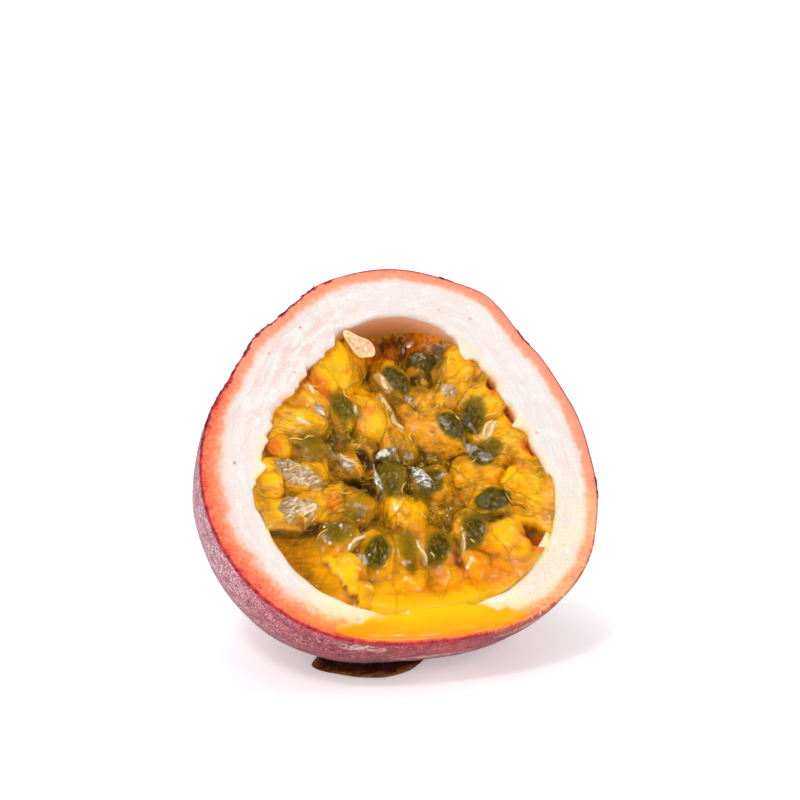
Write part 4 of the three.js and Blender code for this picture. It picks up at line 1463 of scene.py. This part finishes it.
def juice_material():
    make = new_material(
        "lip_juice", (0.97, 0.5, 0.01), Roughness=0.35, IOR=1.36, Subsurface_Weight=0.3,
        Subsurface_Radius=(1.0, 0.5, 0.05), Subsurface_Scale=0.001, Specular_IOR_Level=0.1,
        Coat_Weight=1.0, Coat_Roughness=0.05, Coat_IOR=1.5)
    place = make.place(stretch=(0.3, 1, 1))
    flow, normal = make.fine_grain(place, 0.6, 4, 0.55, 0.5, 0.2, 0.0004)
    skin_side = make.plus(make.value("from_skin"), make.times(flow, 2.6))
    juice = make.ramp(make.math("DIVIDE", skin_side, 10.0), [
        (0.1, (0.86, 0.13, 0.006)), (0.19, (0.95, 0.29, 0.006)), (0.34, (0.98, 0.41, 0.004)),
        (0.56, (0.99, 0.54, 0.003)), (0.76, (0.97, 0.5, 0.002)), (1.0, (0.9, 0.42, 0.001))])
    # The lighter yellow streaks along the film are painted highlight streaks; the darker red ones are
    # its colour.
    long = make.place(stretch=(0.1, 1, 1))
    light = make.band(make.noise(long, 1.0, 3, 0.5, 0.3), 0.54, 0.68, 0.0, 0.3)
    juice = make.mix(light, juice, (1.0, 0.66, 0.03, 1))
    dusk = make.band(make.noise(long, 0.6, 3, 0.5, 0.6), 0.58, 0.72, 0.0, 0.3)
    juice = make.mix(dusk, juice, (0.86, 0.27, 0.004, 1))
    under = make.ramp(make.math("DIVIDE", skin_side, 10.0), [
        (0.1, (0.9, 0.17, 0.04)), (0.3, (0.97, 0.4, 0.1)), (0.46, (0.97, 0.76, 0.4))])
    colour = make.mix(make.band(make.value("body"), 0.3, 0.8), under, juice)
    return make.wear(Base_Color=colour, Normal=normal)


def puddle_material():
    make = new_material(
        "dark_juice", (0.1, 0.03, 0.01), Roughness=0.12, IOR=1.36,
        Coat_Weight=1.0, Coat_Roughness=0.03, Coat_IOR=1.36)
    place = make.place()
    flow = make.noise(place, 0.4, 3, 0.5)
    colour = make.ramp(flow, [(0.35, (0.03, 0.01, 0.004)), (0.6, (0.09, 0.035, 0.008)),
                              (0.74, (0.3, 0.15, 0.04))])
    swirl = make.noise(make.place(stretch=(0.5, 1, 1)), 0.9, 4, 0.6, 0.8)
    thin = make.plus(make.value("to_edge"), make.band(swirl, 0.36, 0.62, 0.06, -0.02))
    amber = make.times(make.band(thin, 0.02, 0.2, 1.0, 0.0), make.band(swirl, 0.35, 0.6, 0.3, 0.9))
    colour = make.mix(amber, colour, (0.3, 0.14, 0.03, 1))
    return make.wear(Base_Color=colour, Coat_Normal=make.bump(swirl, 0.7, 0.0012))


def floor_material():
    make = new_material(
        "white_sweep", (1, 1, 1), Roughness=0.6, Specular_IOR_Level=0.2,
        Emission_Color=(0.88, 0.98, 1, 1))
    paper = make.noise(make.place(), 0.05, 2)
    colour = make.ramp(paper, [(0.3, (0.98, 0.965, 0.985)), (0.7, (1, 0.985, 1))])
    mirrored = make.add("ShaderNodeLightPath").outputs["Is Glossy Ray"]
    colour = make.mix(mirrored, colour, (0.3, 0.3, 0.3, 1))
    return make.wear(Base_Color=colour,
                     Emission_Strength=make.band(mirrored, 0.0, 1.0, 0.36, 0.0))


# ------------------------------------------------------------------------ pieces

rind = make_rind()
pulp, places, threads = make_pulp()
seeds = make_seeds(places)
flap = make_flap()
stub = make_stalk_stub()
slivers = make_skin_slivers()
film = make_lip_juice()
puddle = make_puddle()

for piece, node_name, slot in ((rind, "rind", "rind"), (pulp, "pulp", "pulp"),
                               (flap, "rind", "rind"), (stub, "rind", "rind"),
                               (slivers, "rind", "rind"), (seeds, "pulp", "pulp"),
                               (threads, "pulp", "pulp"),
                               (film, "juice_lip", "juice"), (puddle, "juice_foot", "dark_juice")):
    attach(piece, "root")
    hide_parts(node_name)


# ---------------------------------------------------------- floor, light, camera

put_down()
bpy.ops.mesh.primitive_plane_add(size=6)
floor = bpy.context.object
floor.name = "floor"
floor.data.materials.append(floor_material())


def softbox(name, way, distance, size, power, mirrored=True):
    """A square lamp that looks at the fruit from a direction."""
    lamp = bpy.data.lights.new(name, "AREA")
    lamp.shape = "RECTANGLE"
    lamp.size, lamp.size_y = size
    lamp.energy = power
    box = bpy.data.objects.new(name, lamp)
    bpy.context.collection.objects.link(box)
    middle = Vector((0, -0.005, 0.028))
    way = Vector(way).normalized()
    box.location = middle + way * distance
    box.rotation_euler = way.to_track_quat("Z", "Y").to_euler()
    box.visible_glossy = mirrored
    return box


# Wide lamps give the soft light, and small ones the sparks on wet skins.
softbox("key_upper_left", (-0.42, -0.45, 0.8), 0.8, (0.17, 0.14), 1.38)
softbox("top", (-0.05, 0.25, 1.0), 0.9, (0.3, 0.24), 1.1, mirrored=False)
softbox("side_left", (-1.0, -0.35, 0.0), 0.8, (0.3, 0.3), 1.45)
softbox("front_low", (0.2, -1.0, 0.03), 0.8, (0.3, 0.04), 0.5)
softbox("strip_right", (0.8, -0.45, 0.5), 0.8, (0.03, 0.25), 0.8)
softbox("spark_left", (-0.42, -0.45, 0.8), 0.78, (0.06, 0.05), 0.35)
softbox("spark_front", (0.25, -0.75, 0.6), 0.8, (0.04, 0.04), 0.22)
softbox("spark_side", (-0.75, -0.2, 0.6), 0.8, (0.04, 0.04), 0.22)
softbox("spark_high", (-0.1, -0.05, 1.0), 0.8, (0.05, 0.04), 0.3)

world = bpy.data.worlds.new("white_room")
bpy.context.scene.world = world
world.use_nodes = True
make = Maker(world.node_tree)
world.node_tree.nodes.clear()
rays = make.add("ShaderNodeLightPath")
dim = make.times(rays.outputs["Is Glossy Ray"], 0.5)
seen = make.math("SUBTRACT", 0.55, dim)
strength = make.plus(seen, make.times(rays.outputs["Is Camera Ray"], 0.5))
room = make.add("ShaderNodeBackground", Color=(1, 1, 1, 1), Strength=strength)
end = make.add("ShaderNodeOutputWorld")
world.node_tree.links.new(room.outputs[0], end.inputs["Surface"])

bpy.context.scene.view_settings.view_transform = "Standard"

CAMERA_TURN = radians(-17.5)
CAMERA_RISE = radians(18)
CAMERA_DISTANCE = 450
CAMERA_ASIDE = -0.370
CAMERA_ABOVE = 9.037
CAMERA_LENS = 136.7

back = Vector((sin(CAMERA_TURN) * cos(CAMERA_RISE), -cos(CAMERA_TURN) * cos(CAMERA_RISE),
               sin(CAMERA_RISE)))
right = Vector((cos(CAMERA_TURN), sin(CAMERA_TURN), 0))
up = back.cross(right)
target = Vector(CUT_CENTRE) + right * CAMERA_ASIDE + up * CAMERA_ABOVE
eye = (target + back * CAMERA_DISTANCE) / 1000
lens = bpy.data.cameras.new("camera")
lens.lens = CAMERA_LENS
lens.sensor_width = 36
lens.clip_start = 0.01
camera = bpy.data.objects.new("camera", lens)
bpy.context.collection.objects.link(camera)
camera.matrix_world = Matrix((
    (right.x, up.x, back.x, eye.x), (right.y, up.y, back.y, eye.y),
    (right.z, up.z, back.z, eye.z), (0, 0, 0, 1)))
bpy.context.scene.camera = camera
